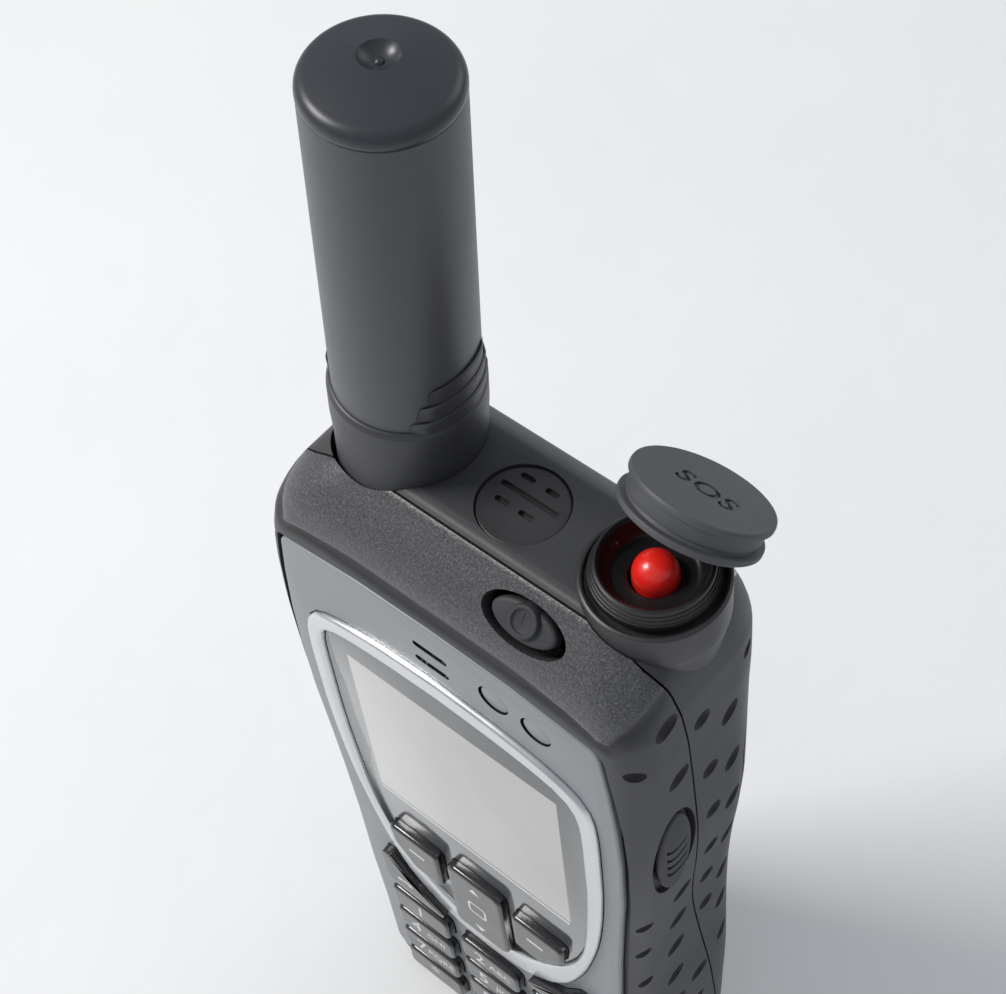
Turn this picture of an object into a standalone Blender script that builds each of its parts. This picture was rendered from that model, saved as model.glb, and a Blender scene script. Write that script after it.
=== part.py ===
"""Handheld satellite distress telephone: casings, keys, antenna, distress button and its cap.

Frame: +X right seen from the front, the front faces -Y, +Z up, origin at the bottom centre.
All lengths below are in millimetres and are turned into metres when meshes are made.
"""
import math

import bmesh
import bpy
from mathutils import Matrix, Vector

MM = 0.001
GAP = 0.3
WALL = 1.6

# casing rows: height, left, right, front, back, front corner radius, back corner radius
CASING = [
    (0.0, 22.3, 22.3, 10.4, 10.4, 5.0, 7.0),
    (0.9, 24.4, 24.4, 12.2, 12.2, 5.0, 8.0),
    (2.8, 25.6, 25.6, 13.2, 13.2, 4.6, 8.0),
    (6.0, 26.3, 26.3, 13.5, 13.5, 4.2, 8.0),
    (23.0, 27.1, 27.1, 13.5, 13.5, 4.2, 8.0),
    (37.0, 27.5, 27.5, 13.5, 13.5, 4.2, 8.0),
    (51.0, 27.3, 27.3, 13.5, 13.5, 4.2, 8.0),
    (64.0, 27.5, 27.5, 13.5, 13.5, 4.2, 8.0),
    (75.0, 28.3, 28.3, 13.5, 13.5, 4.2, 8.0),
    (85.0, 29.3, 29.3, 13.5, 13.5, 4.2, 8.0),
    (95.0, 30.0, 30.0, 13.5, 13.5, 4.2, 8.0),
    (105.0, 30.0, 30.0, 13.5, 13.5, 4.2, 8.0),
    (115.0, 29.5, 30.0, 13.5, 13.5, 4.2, 8.0),
    (122.0, 28.7, 30.0, 13.5, 13.5, 4.4, 8.0),
    (127.5, 27.6, 29.9, 13.5, 13.4, 4.8, 8.0),
    (131.0, 26.5, 29.6, 13.0, 12.9, 5.2, 8.0),
    (134.0, 25.0, 29.0, 12.0, 11.9, 5.6, 8.0),
    (136.8, 22.9, 27.8, 10.6, 10.4, 6.0, 7.6),
    (138.8, 20.2, 25.8, 9.0, 8.7, 6.0, 6.6),
    (140.3, 16.5, 22.4, 6.9, 6.2, 5.0, 4.6),
]
CASING_TOP = 140.3
CORNER_STEPS = 4

# parting line between the front and rear shells in the side view: height, depth
PARTING = [(-2, 5.6), (18, 5.2), (31, 3.5), (40, 1.9), (50, 0.6), (64, -1.1), (87, -0.9), (100, -1.0),
           (113, -2.0), (125, -4.0), (133, -6.2), (137, -7.2), (143, -7.4)]

FRONT = -13.5
FACE_DEPTH = 1.2
FRONT_WALL_BACK = -10.6
KEY_FACE = -15.2
KEY_BACK = -12.1

# right half of the faceplate and of the trim ring, bottom to top: half width, height
FACE_HALF = [(0, 3.6), (19.6, 4.0), (22.4, 5.6), (23.6, 8.6), (24.3, 23), (24.9, 37), (25.0, 53), (25.5, 66),
             (26.1, 76), (26.9, 87), (27.1, 98), (26.8, 107), (25.8, 117), (25.1, 122), (23.8, 124.0),
             (12, 125.6), (0, 126.1)]
RING_HALF = [(0, 38.0), (5, 38.6), (9.5, 40.5), (13.5, 43.9), (16.5, 48.4), (18.7, 54), (20.7, 61.5),
             (22.4, 70), (23.5, 80), (23.9, 89), (24.0, 99), (23.8, 104.5), (22.8, 108.4), (20.4, 110.7),
             (16.0, 112.3), (8.0, 113.9), (0, 114.3)]
RING_WIDTH = 2.3
RING_FRONT = -14.4

LENS_PLACES = ((9.2, 120.4), (15.8, 120.1))

KEY_COLUMNS = (-14.1, 0.0, 14.1)
KEY_ROW_TOPS = (35.2, 27.5, 19.8, 12.1)
KEY_WIDTH = 11.6
KEY_HEIGHT = 6.1
KEY_NAMES = (("1", "2", "3"), ("4", "5", "6"), ("7", "8", "9"), ("star", "0", "hash"))
SOFT_RIGHT = [(6.9, 50.6), (12.4, 50.6), (15.9, 55.4), (16.4, 60.2), (6.9, 60.2)]
END_KEY = [(8.3, 37.6), (19.9, 37.6), (19.9, 47.2), (17.9, 47.2), (14.7, 42.9), (11.2, 39.9), (8.3, 38.8)]

ANT_TILT = math.atan(0.086)
ANT_PIVOT = (-13.98, 0.75, 133.0)
COLLAR_RADIUS = 9.3
COLLAR_BORE = 8.9
COLLAR_TOP = 17.6
TUBE_RADIUS = 8.6
TUBE_TOP_RADIUS = 8.2
TUBE_TOP = 65.4

SOS_X = 22.2
SOS_Y = 0.85
TURRET_RADIUS = 8.57
TURRET_TOP = 141.6
TURRET_BORE = 6.6
NECK_TOP = 144.3
DOME_RADIUS = 2.95
DOME_CENTRE = 141.9
CAP_RADIUS = 8.45
CAP_CLOSED_TOP = 146.2
CAP_HINGE = (23.1, 9.35, 136.1)
CAP_TURN = math.radians(5.9)
CAP_OPEN = math.radians(37.7)

BATTERY_FRONT = 8.1
BATTERY_TOP = 104.7
BAY_WALL = 1.3

PLUG_Y = 0.2
PLUG_Z = 122.6

POWER_CENTRE = (12.6, -10.4, 136.2)
POWER_LEAN = math.radians(50)
SIDE_KEY_Y = -6.4
SIDE_KEY_Z = 95.4
GRILLE_X = 4.2
GRILLE_Y = 0.0
SCREW_PLACES = ((-20.0, 14.0), (20.0, 14.0), (-21.0, 92.0), (21.0, 92.0))


def clear_scene():
    for obj in list(bpy.data.objects):
        bpy.data.objects.remove(obj, do_unlink=True)


def new_collection(name):
    coll = bpy.data.collections.new(name)
    bpy.context.scene.collection.children.link(coll)
    return coll


def new_material(name, colour, roughness, metallic=0.0):
    mat = bpy.data.materials.new(name)
    mat.use_nodes = True
    shader = mat.node_tree.nodes["Principled BSDF"]
    shader.inputs["Base Color"].default_value = (*colour, 1.0)
    shader.inputs["Roughness"].default_value = roughness
    shader.inputs["Metallic"].default_value = metallic
    return mat


def new_object(name, mesh, coll):
    obj = bpy.data.objects.new(name, mesh)
    coll.objects.link(obj)
    return obj


def finish_mesh(name, bm):
    bmesh.ops.scale(bm, vec=(MM, MM, MM), verts=bm.verts)
    mesh = bpy.data.meshes.new(name)
    bm.to_mesh(mesh)
    bm.free()
    return mesh


def box_mesh(name, low, high):
    bm = bmesh.new()
    bmesh.ops.create_cube(bm, size=1.0)
    size = [h - l for l, h in zip(low, high)]
    centre = [(h + l) / 2 for l, h in zip(low, high)]
    bmesh.ops.scale(bm, vec=size, verts=bm.verts)
    bmesh.ops.translate(bm, vec=centre, verts=bm.verts)
    return finish_mesh(name, bm)


def rod_mesh(name, radius, start, end, sides=24, end_radius=None):
    start = Vector(start)
    end = Vector(end)
    axis = end - start
    bm = bmesh.new()
    bmesh.ops.create_cone(bm, cap_ends=True, segments=sides, radius1=radius,
                          radius2=radius if end_radius is None else end_radius, depth=axis.length)
    turn = Vector((0, 0, 1)).rotation_difference(axis).to_matrix().to_4x4()
    bmesh.ops.transform(bm, matrix=Matrix.Translation((start + end) / 2) @ turn, verts=bm.verts)
    return finish_mesh(name, bm)


def evaluated_mesh(obj):
    depsgraph = bpy.context.evaluated_depsgraph_get()
    mesh = bpy.data.meshes.new_from_object(obj.evaluated_get(depsgraph))
    bm = bmesh.new()
    bm.from_mesh(mesh)
    bmesh.ops.remove_doubles(bm, verts=bm.verts, dist=1e-6)
    bm.to_mesh(mesh)
    bm.free()
    return mesh


def plate_mesh(name, outline, y0, y1):
    """A flat outline in X and Z, thickened from y0 to y1."""
    curve = bpy.data.curves.new(name, "CURVE")
    curve.dimensions = "2D"
    curve.fill_mode = "BOTH"
    curve.extrude = abs(y1 - y0) / 2 * MM
    spline = curve.splines.new("POLY")
    spline.points.add(len(outline) - 1)
    for point, (x, z) in zip(spline.points, outline):
        point.co = (x * MM, z * MM, 0, 1)
    spline.use_cyclic_u = True
    obj = new_object(name, curve, bpy.context.scene.collection)
    bpy.context.view_layer.update()
    mesh = evaluated_mesh(obj)
    bpy.data.objects.remove(obj)
    mesh.transform(Matrix.Translation((0, (y0 + y1) / 2 * MM, 0)) @ Matrix.Rotation(math.pi / 2, 4, "X"))
    return mesh


def turned_mesh(name, profile, steps=32):
    """A closed profile of radius and height turned about Z; it runs down its outer side."""
    bm = bmesh.new()
    verts = [bm.verts.new((r * MM, 0, z * MM)) for r, z in profile]
    for a, b in zip(verts, verts[1:]):
        bm.edges.new((a, b))
    if profile[0][0] > 0:
        bm.edges.new((verts[-1], verts[0]))
    mesh = bpy.data.meshes.new(name)
    bm.to_mesh(mesh)
    bm.free()
    obj = new_object(name, mesh, bpy.context.scene.collection)
    screw = obj.modifiers.new("Turn", "SCREW")
    screw.steps = steps
    screw.render_steps = steps
    screw.use_merge_vertices = True
    screw.merge_threshold = 0.000001
    bpy.context.view_layer.update()
    turned = evaluated_mesh(obj)
    bpy.data.objects.remove(obj)
    return turned


def casing_section(row, inset):
    z, left, right, front, back, front_corner, back_corner = row
    x0, x1, y0, y1 = -left + inset, right - inset, -front + inset, back - inset
    points = []
    corners = ((x1, y0, front_corner, -90), (x1, y1, back_corner, 0),
               (x0, y1, back_corner, 90), (x0, y0, front_corner, 180))
    for cx, cy, radius, first in corners:
        radius = max(radius - inset, 0.8)
        px = cx - math.copysign(radius, cx)
        py = cy - math.copysign(radius, cy)
        for step in range(CORNER_STEPS + 1):
            angle = math.radians(first + 90 * step / CORNER_STEPS)
            points.append((px + radius * math.cos(angle), py + radius * math.sin(angle), z))
    return points


def casing_mesh(name, inset=0.0):
    """The whole outer shape of the telephone, lofted through its rows, or its hollow."""
    bm = bmesh.new()
    rings = []
    scale = (CASING_TOP - 2 * inset) / CASING_TOP
    for row in CASING:
        height = inset + row[0] * scale
        ring = [bm.verts.new((x, y, height)) for x, y, _ in casing_section(row, inset)]
        rings.append(ring)
    count = len(rings[0])
    for low, high in zip(rings, rings[1:]):
        for i in range(count):
            j = (i + 1) % count
            bm.faces.new((low[i], low[j], high[j], high[i]))
    bm.faces.new(list(reversed(rings[0])))
    bm.faces.new(rings[-1])
    return finish_mesh(name, bm)


def mirrored(half):
    """A closed outline from its right half, which starts and ends on the centre line."""
    return half + [(-x, z) for x, z in reversed(half[1:-1])]


def inset_outline(outline, distance):
    """The same outline moved inwards; the outline runs anticlockwise."""
    moved = []
    count = len(outline)
    for i in range(count):
        before = Vector(outline[i - 1])
        here = Vector(outline[i])
        after = Vector(outline[(i + 1) % count])
        first = (here - before).normalized()
        second = (after - here).normalized()
        normal = (Vector((-first.y, first.x)) + Vector((-second.y, second.x))).normalized()
        spread = max(normal.dot(Vector((-first.y, first.x))), 0.5)
        moved.append(tuple(here + normal * distance / spread))
    return moved


def rounded_rectangle(cx, cz, width, height, radius, steps=3):
    points = []
    for sx, sz, first in ((1, -1, -90), (1, 1, 0), (-1, 1, 90), (-1, -1, 180)):
        px = cx + sx * (width / 2 - radius)
        pz = cz + sz * (height / 2 - radius)
        for step in range(steps + 1):
            angle = math.radians(first + 90 * step / steps)
            points.append((px + radius * math.cos(angle), pz + radius * math.sin(angle)))
    return points


def ellipse(cx, cz, a, b, steps=28):
    turns = [2 * math.pi * i / steps for i in range(steps)]
    return [(cx + a * math.cos(t), cz + b * math.sin(t)) for t in turns]


class Builder:
    def __init__(self):
        self.parts = new_collection("satellite_distress_phone")
        self.cutters = new_collection("cutters")

    def part(self, name, mesh, colour, roughness, metallic=0.0, origin=None):
        obj = new_object(name, mesh, self.parts)
        obj.data.materials.clear()
        obj.data.materials.append(new_material(name + "_material", colour, roughness, metallic))
        if origin is not None:
            place = Vector(origin) * MM
            obj.data.transform(Matrix.Translation(-place))
            obj.location = place
        return obj

    def cutter(self, name, mesh):
        obj = new_object(name, mesh, self.cutters)
        obj.display_type = "WIRE"
        obj.hide_render = True
        return obj

    def cut(self, obj, mesh, operation="DIFFERENCE"):
        tool = self.cutter(f"{obj.name}_cut_{len(obj.modifiers)}", mesh)
        modifier = obj.modifiers.new(tool.name, "BOOLEAN")
        modifier.operation = operation
        modifier.solver = "EXACT"
        modifier.object = tool
        return tool


def parting_cutter(name, side):
    """Everything behind (side 1) or in front of (side -1) the parting line."""
    far = 40.0 * side
    line = [(y + (0 if side > 0 else GAP), z) for z, y in PARTING]
    outline = line + [(far, 143), (far, -2)]
    mesh = plate_mesh(name, outline, -40, 40)
    bm = bmesh.new()
    bm.from_mesh(mesh)
    bmesh.ops.transform(bm, matrix=Matrix.Rotation(math.pi / 2, 4, "Z"), verts=bm.verts)
    bmesh.ops.recalc_face_normals(bm, faces=bm.faces)
    bm.to_mesh(mesh)
    bm.free()
    return mesh


def antenna_matrix():
    pivot = Vector(ANT_PIVOT) * MM
    return Matrix.Translation(pivot) @ Matrix.Rotation(ANT_TILT, 4, "Y")


def antenna_hole(name):
    mesh = rod_mesh(name, 1.0, (0, 0, 128.0), (0, 0, 150.0), sides=40)
    mesh.transform(Matrix.Diagonal((10.4, 9.7, 1, 1)))
    mesh.transform(Matrix.Translation(Vector((ANT_PIVOT[0], ANT_PIVOT[1], 0)) * MM))
    return mesh


def build_front_housing(b):
    obj = b.part("front_housing", casing_mesh("front_housing"), (0.030, 0.031, 0.034), 0.55)
    b.cut(obj, parting_cutter("parting_rear", 1))
    hollow = b.cutter("front_hollow", casing_mesh("front_hollow", WALL))
    wall = box_mesh("front_wall_keep", (-40, -20, -5), (40, FRONT_WALL_BACK, 126))
    keep = b.cutter("front_wall_keep", wall)
    modifier = hollow.modifiers.new("keep", "BOOLEAN")
    modifier.object = keep
    modifier.solver = "EXACT"
    bpy.context.view_layer.update()
    b.cut(obj, evaluated_mesh(hollow))
    bpy.data.objects.remove(hollow)
    bpy.data.objects.remove(keep)
    recess = inset_outline(mirrored(FACE_HALF), -0.35)
    b.cut(obj, plate_mesh("face_recess", recess, -20, FRONT + FACE_DEPTH + GAP))
    b.cut(obj, box_mesh("display_opening", (-18.6, -20, 68.2), (18.6, 0, 105.4)))
    b.cut(obj, box_mesh("keypad_opening", (-21.6, -20, 5.0), (21.6, 0, 62.6)))
    b.cut(obj, box_mesh("earpiece_opening", (-6.0, -20, 115.5), (6.0, -9, 122.6)))
    b.cut(obj, antenna_hole("front_antenna_hole"))
    b.cut(obj, rod_mesh("front_pin_hole", 1.5, (ANT_PIVOT[0], -11.6, ANT_PIVOT[2]),
                        (ANT_PIVOT[0], -5, ANT_PIVOT[2]), 16))
    b.cut(obj, turret_shape("turret_clearance", GAP))
    b.cut(obj, power_shape("power_hole", 6.0, 2.8, -6.0, 6.0))
    b.cut(obj, side_oval("side_key_hole", 4.3, 10.3, 20, 40))
    b.cut(obj, box_mesh("volume_key_hole", (-40, -8.6, 84.0), (-20, -4.6, 106.0)))
    b.cut(obj, box_mesh("port_opening", (-9.3, -6.3, -5), (9.3, 2.3, 2.3)))
    b.cut(obj, box_mesh("connector_opening", (-7.3, -4.3, -5), (7.3, 0.3, 8)))


def power_shape(name, a, b, start, end):
    """An oval prism square to the sloping front of the top."""
    mesh = plate_mesh(name, ellipse(0, 0, a, b), start, end)
    mesh.transform(Matrix.Rotation(-(math.pi / 2 - POWER_LEAN), 4, "X"))
    mesh.transform(Matrix.Translation(Vector(POWER_CENTRE) * MM))
    return mesh


def side_oval(name, a, b, x0, x1):
    mesh = plate_mesh(name, ellipse(0, SIDE_KEY_Z, a, b), x0, x1)
    mesh.transform(Matrix.Rotation(math.pi / 2, 4, "Z"))
    mesh.transform(Matrix.Translation((0, SIDE_KEY_Y * MM, 0)))
    bm = bmesh.new()
    bm.from_mesh(mesh)
    reach = sum(v.co.x for v in bm.verts)
    if reach < 0:
        bmesh.ops.scale(bm, vec=(-1, 1, 1), verts=bm.verts)
        bmesh.ops.reverse_faces(bm, faces=bm.faces)
    bm.to_mesh(mesh)
    bm.free()
    return mesh


def build_rear_housing(b):
    obj = b.part("rear_housing", casing_mesh("rear_housing"), (0.022, 0.023, 0.025), 0.6)
    b.cut(obj, parting_cutter("parting_front", -1))
    hollow = b.cutter("rear_hollow", casing_mesh("rear_hollow", WALL))
    bay = (-40, BATTERY_FRONT - GAP - BAY_WALL, -5), (40, 30, BATTERY_TOP + GAP + BAY_WALL)
    keep = b.cutter("bay_keep", box_mesh("bay_keep", *bay))
    modifier = hollow.modifiers.new("keep", "BOOLEAN")
    modifier.object = keep
    modifier.solver = "EXACT"
    bpy.context.view_layer.update()
    b.cut(obj, evaluated_mesh(hollow))
    bpy.data.objects.remove(hollow)
    bpy.data.objects.remove(keep)
    b.cut(obj, box_mesh("battery_bay", (-40, BATTERY_FRONT - GAP, -5), (40, 30, BATTERY_TOP + GAP)))
    b.cut(obj, turret_shape("turret", 0.0), "UNION")
    ear_low = (CAP_HINGE[0] - 4.3, 6.0, 131.4)
    ear_high = (CAP_HINGE[0] + 4.3, 10.7, 137.3)
    b.cut(obj, box_mesh("hinge_ears", ear_low, ear_high), "UNION")
    b.cut(obj, antenna_hole("rear_antenna_hole"))
    b.cut(obj, rod_mesh("rear_pin_hole", 1.5, (ANT_PIVOT[0], 5, ANT_PIVOT[2]),
                        (ANT_PIVOT[0], 11.7, ANT_PIVOT[2]), 16))
    b.cut(obj, rod_mesh("turret_bore", TURRET_BORE, (SOS_X, SOS_Y, 125), (SOS_X, SOS_Y, 150), 32))
    b.cut(obj, rod_mesh("grille_seat", 5.7, (GRILLE_X, GRILLE_Y, 139.2), (GRILLE_X, GRILLE_Y, 150), 28))
    b.cut(obj, rod_mesh("grille_sound_hole", 4.6, (GRILLE_X, GRILLE_Y, 134), (GRILLE_X, GRILLE_Y, 150), 24))
    b.cut(obj, box_mesh("strap_notch", (CAP_HINGE[0] - 3.2, 8.0, 134.5), (CAP_HINGE[0] + 3.2, 20, 150)))
    pin_axis = cap_axis() * 4.0
    pivot = Vector(CAP_HINGE)
    b.cut(obj, rod_mesh("hinge_pin_hole", 0.6, pivot - pin_axis, pivot + pin_axis, 12))
    b.cut(obj, box_mesh("latch_pocket", (-6.3, 12.2, 106.3), (6.3, 20, 114.6)))
    b.cut(obj, box_mesh("latch_slot", (-4.4, 12.2, 104.0), (4.4, 20, 107.0)))
    b.cut(obj, box_mesh("port_opening_rear", (-9.3, -6.3, -5), (9.3, 2.3, 2.3)))
    b.cut(obj, rod_mesh("plug_hole", 2.9, (-40, PLUG_Y, PLUG_Z), (-20, PLUG_Y, PLUG_Z), 20))
    for x, z in SCREW_PLACES:
        b.cut(obj, rod_mesh("screw_hole", 1.2, (x, 0, z), (x, 30, z), 12))
    b.cut(obj, box_mesh("sim_slot", (-8.3, 6.95, 58.0), (8.3, 30, 72.6)))
    b.cut(obj, box_mesh("contact_slot", (-5.3, 5, 8.0), (5.3, 30, 11.6)))


def build_battery(b):
    obj = b.part("battery_pack", casing_mesh("battery_pack"), (0.022, 0.023, 0.025), 0.6)
    b.cut(obj, box_mesh("battery_front", (-40, -40, -5), (40, BATTERY_FRONT, 150)))
    b.cut(obj, box_mesh("battery_above", (-40, -40, BATTERY_TOP), (40, 40, 150)))
    b.cut(obj, box_mesh("latch_catch", (-4.3, 12.2, 101.5), (4.3, 30, 150)))
    latch = b.part("battery_latch", box_mesh("battery_latch", (-5.6, 12.5, 106.7), (5.6, 13.9, 110.9)),
                   (0.03, 0.03, 0.032), 0.5)
    hook = box_mesh("latch_hook", (-4.0, 12.5, 102.0), (4.0, 13.4, 107.5))
    b.cut(latch, hook, "UNION")
    for index, x in enumerate((-2.6, 2.6)):
        contact = box_mesh("contact", (x - 1.2, 6.0, 8.6), (x + 1.2, 7.75, 11.0))
        b.part(f"battery_contact_{index + 1}", contact,
               (0.8, 0.62, 0.3), 0.3, 1.0)


def build_face(b):
    outline = mirrored(FACE_HALF)
    ring = mirrored(RING_HALF)
    face = b.part("faceplate", plate_mesh("faceplate", outline, FRONT, FRONT + FACE_DEPTH),
                  (0.33, 0.345, 0.355), 0.45)
    b.cut(face, plate_mesh("ring_hole", inset_outline(ring, -GAP), -20, 0))
    for z in (117.9, 120.9):
        b.cut(face, box_mesh("ear_slot", (-2.4, -20, z - 0.35), (2.4, 0, z + 0.35)))
    for x, z in LENS_PLACES:
        b.cut(face, rod_mesh("lens_hole", 2.3, (x, -20, z), (x, 0, z), 24))
    b.cut(face, rod_mesh("mic_hole", 0.5, (0, -20, 4.75), (0, 0, 4.75), 10))
    for name, (x, z) in zip(("status_lens", "light_sensor_lens"), LENS_PLACES):
        lens = rod_mesh(name, 2.0, (x, FRONT, z), (x, FRONT + FACE_DEPTH, z), 24)
        b.part(name, lens, (0.36, 0.375, 0.385), 0.3)
    trim = b.part("trim_ring", plate_mesh("trim_ring", ring, RING_FRONT, FRONT + FACE_DEPTH),
                  (0.8, 0.81, 0.82), 0.25, 1.0)
    b.cut(trim, plate_mesh("ring_inside", inset_outline(ring, RING_WIDTH), -20, 0))
    glass = inset_outline(ring, RING_WIDTH + GAP)
    window = b.part("display_window", plate_mesh("display_window", glass, FRONT - 0.1, FRONT + FACE_DEPTH),
                    (0.42, 0.43, 0.43), 0.15)
    b.part("display_panel", box_mesh("display_panel", (-18.2, -12.0, 68.6), (18.2, -10.7, 105.0)),
           (0.55, 0.55, 0.52), 0.5)
    return face, window


def build_keys(b, face, window):
    dark = (0.05, 0.05, 0.055)
    shapes = []
    mirror_soft = [(-x, z) for x, z in reversed(SOFT_RIGHT)]
    mirror_end = [(-x, z) for x, z in reversed(END_KEY)]
    shapes.append(("key_soft_left", mirror_soft, window))
    shapes.append(("key_soft_right", SOFT_RIGHT, window))
    shapes.append(("key_navigation", rounded_rectangle(0, 52.2, 10.2, 18.2, 1.4), window))
    shapes.append(("key_call", mirror_end, face))
    shapes.append(("key_end", END_KEY, face))
    for names, top in zip(KEY_NAMES, KEY_ROW_TOPS):
        for label, x in zip(names, KEY_COLUMNS):
            outline = rounded_rectangle(x, top - KEY_HEIGHT / 2, KEY_WIDTH, KEY_HEIGHT, 1.2)
            shapes.append((f"key_{label}", outline, face))
    for name, outline, panel in shapes:
        b.part(name, plate_mesh(name, outline, KEY_FACE, KEY_BACK), dark, 0.35)
        b.cut(panel, plate_mesh(name + "_hole", inset_outline(outline, -GAP), -20, 0))
    b.part("keypad_mat", box_mesh("keypad_mat", (-21.2, -11.55, 5.4), (21.2, -10.8, 62.2)),
           (0.06, 0.06, 0.065), 0.8)


def build_side_keys(b):
    b.part("power_key", power_shape("power_key", 5.6, 2.4, -0.9, 1.9), (0.02, 0.02, 0.022), 0.4)
    b.part("side_key", side_oval("side_key", 3.9, 9.9, 28.0, 30.1), (0.03, 0.03, 0.033), 0.5)
    key = b.part("volume_key", box_mesh("volume_key", (-30.2, -8.2, 84.4), (-27.8, -5.0, 105.6)),
                 (0.03, 0.03, 0.033), 0.5)
    key.modifiers.new("Soft edges", "BEVEL").width = 0.6 * MM
    plug = rod_mesh("antenna_port_plug", 2.6, (-29.5, PLUG_Y, PLUG_Z), (-26.6, PLUG_Y, PLUG_Z), 20)
    b.part("antenna_port_plug", plug, (0.02, 0.02, 0.02), 0.7)


def build_antenna(b):
    place = antenna_matrix()
    collar_profile = [(COLLAR_BORE, COLLAR_TOP), (COLLAR_RADIUS - 0.1, COLLAR_TOP), (COLLAR_RADIUS, 17.0),
                      (COLLAR_RADIUS, -2.4), (COLLAR_BORE, -2.4)]
    collar = b.part("antenna_collar", turned_mesh("antenna_collar", collar_profile, 40),
                    (0.04, 0.043, 0.05), 0.5)
    collar.matrix_world = place
    tube_profile = [(7.3, 63.2), (8.25, 63.2), (TUBE_RADIUS, 17.0), (TUBE_RADIUS, 1.5), (7.3, 1.5)]
    tube = b.part("antenna_tube", turned_mesh("antenna_tube", tube_profile, 40), (0.05, 0.055, 0.064), 0.42)
    tube.matrix_world = place
    cap_profile = [(0, TUBE_TOP - 0.4), (1.2, TUBE_TOP - 0.4), (1.9, TUBE_TOP), (6.3, TUBE_TOP)]
    for step in range(1, 5):
        angle = math.radians(90 - 90 * step / 4)
        cap_profile.append((6.3 + 1.9 * math.cos(angle), TUBE_TOP - 1.9 + 1.9 * math.sin(angle)))
    cap_profile += [(TUBE_TOP_RADIUS, 63.5), (7.0, 63.5), (7.0, 60.5), (0, 60.5)]
    cap = b.part("antenna_cap", turned_mesh("antenna_cap", cap_profile, 40), (0.03, 0.033, 0.04), 0.4)
    cap.matrix_world = place
    core = b.part("antenna_helix_core", rod_mesh("antenna_helix_core", 5.6, (0, 0, 16), (0, 0, 60), 20),
                  (0.7, 0.45, 0.25), 0.4, 0.6)
    core.matrix_world = place
    for name, y0, y1 in (("antenna_pivot_front", -11.3, -8.65), ("antenna_pivot_rear", 10.15, 11.4)):
        start = (ANT_PIVOT[0], y0, ANT_PIVOT[2])
        b.part(name, rod_mesh(name, 1.4, start, (ANT_PIVOT[0], y1, ANT_PIVOT[2]), 16),
               (0.6, 0.6, 0.6), 0.3, 1.0)


def turret_shape(name, grow):
    wide = TURRET_RADIUS + grow
    profile = [(0, TURRET_TOP + 9 * grow), (wide, TURRET_TOP + 9 * grow), (wide, 136.6),
               (7.3 + grow, 129.0), (0, 129.0)]
    mesh = turned_mesh(name, profile, 36)
    mesh.transform(Matrix.Translation((SOS_X * MM, SOS_Y * MM, 0)))
    return mesh


def cap_axis():
    return Vector((math.cos(CAP_TURN), -math.sin(CAP_TURN), 0))


def cap_matrix():
    pivot = Vector(CAP_HINGE) * MM
    swing = Matrix.Rotation(-CAP_OPEN, 4, cap_axis())
    return Matrix.Translation(pivot) @ swing @ Matrix.Translation(-pivot)


def build_distress(b):
    centre = Matrix.Translation((SOS_X * MM, SOS_Y * MM, 0))
    neck_profile = [(6.1, NECK_TOP - 0.3), (6.4, NECK_TOP), (6.75, NECK_TOP - 0.2),
                    (7.3, 142.6), (7.4, 141.8),
                    (6.3, 141.8), (6.3, 134.2), (3.3, 134.2), (3.3, 139.6), (5.4, 139.9)]
    neck = b.part("sos_neck", turned_mesh("sos_neck", neck_profile, 36), (0.015, 0.015, 0.016), 0.35)
    neck.matrix_world = centre
    dome = [(0, DOME_CENTRE + DOME_RADIUS)]
    for step in range(1, 7):
        angle = math.radians(90 - 15 * step)
        dome.append((DOME_RADIUS * math.cos(angle), DOME_CENTRE + DOME_RADIUS * math.sin(angle)))
    dome += [(DOME_RADIUS, 135.6), (0, 135.6)]
    button = b.part("sos_button", turned_mesh("sos_button", dome, 28), (0.80, 0.04, 0.03), 0.25)
    button.matrix_world = centre
    b.part("sos_switch", box_mesh("sos_switch", (SOS_X - 3, SOS_Y - 3, 129.6), (SOS_X + 3, SOS_Y + 3, 133.8)),
           (0.1, 0.1, 0.1), 0.5)
    r = CAP_RADIUS
    top = CAP_CLOSED_TOP
    cap_profile = [(0, top), (r - 0.5, top), (r, top - 0.4), (r, top - 1.2), (r - 0.9, top - 1.4),
                   (r - 0.9, top - 2.6), (r + 0.1, top - 2.9), (r + 0.2, top - 3.6), (r, top - 4.25),
                   (7.85, top - 4.25), (7.85, top - 3.0), (7.1, top - 1.7), (5.0, top - 1.2), (0, top - 1.2)]
    cap = b.part("sos_cap", turned_mesh("sos_cap", cap_profile, 36), (0.045, 0.047, 0.05), 0.6)
    cap.matrix_world = cap_matrix() @ centre
    strap_low = (CAP_HINGE[0] - 2.4, CAP_HINGE[1] - 0.9, CAP_HINGE[2] - 0.9)
    strap_high = (CAP_HINGE[0] + 2.4, CAP_HINGE[1] + 0.9, CAP_CLOSED_TOP - 4.35)
    strap = b.part("cap_strap", box_mesh("cap_strap", strap_low, strap_high), (0.03, 0.03, 0.03), 0.7)
    strap.data.transform(cap_matrix())
    pivot = Vector(CAP_HINGE)
    b.cut(strap, rod_mesh("strap_eye", 0.58, pivot - cap_axis() * 6, pivot + cap_axis() * 6, 16))
    pin = rod_mesh("cap_hinge_pin", 0.5, pivot - cap_axis() * 3.8, pivot + cap_axis() * 3.8, 12)
    b.part("cap_hinge_pin", pin, (0.6, 0.6, 0.6), 0.3, 1.0)


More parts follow.
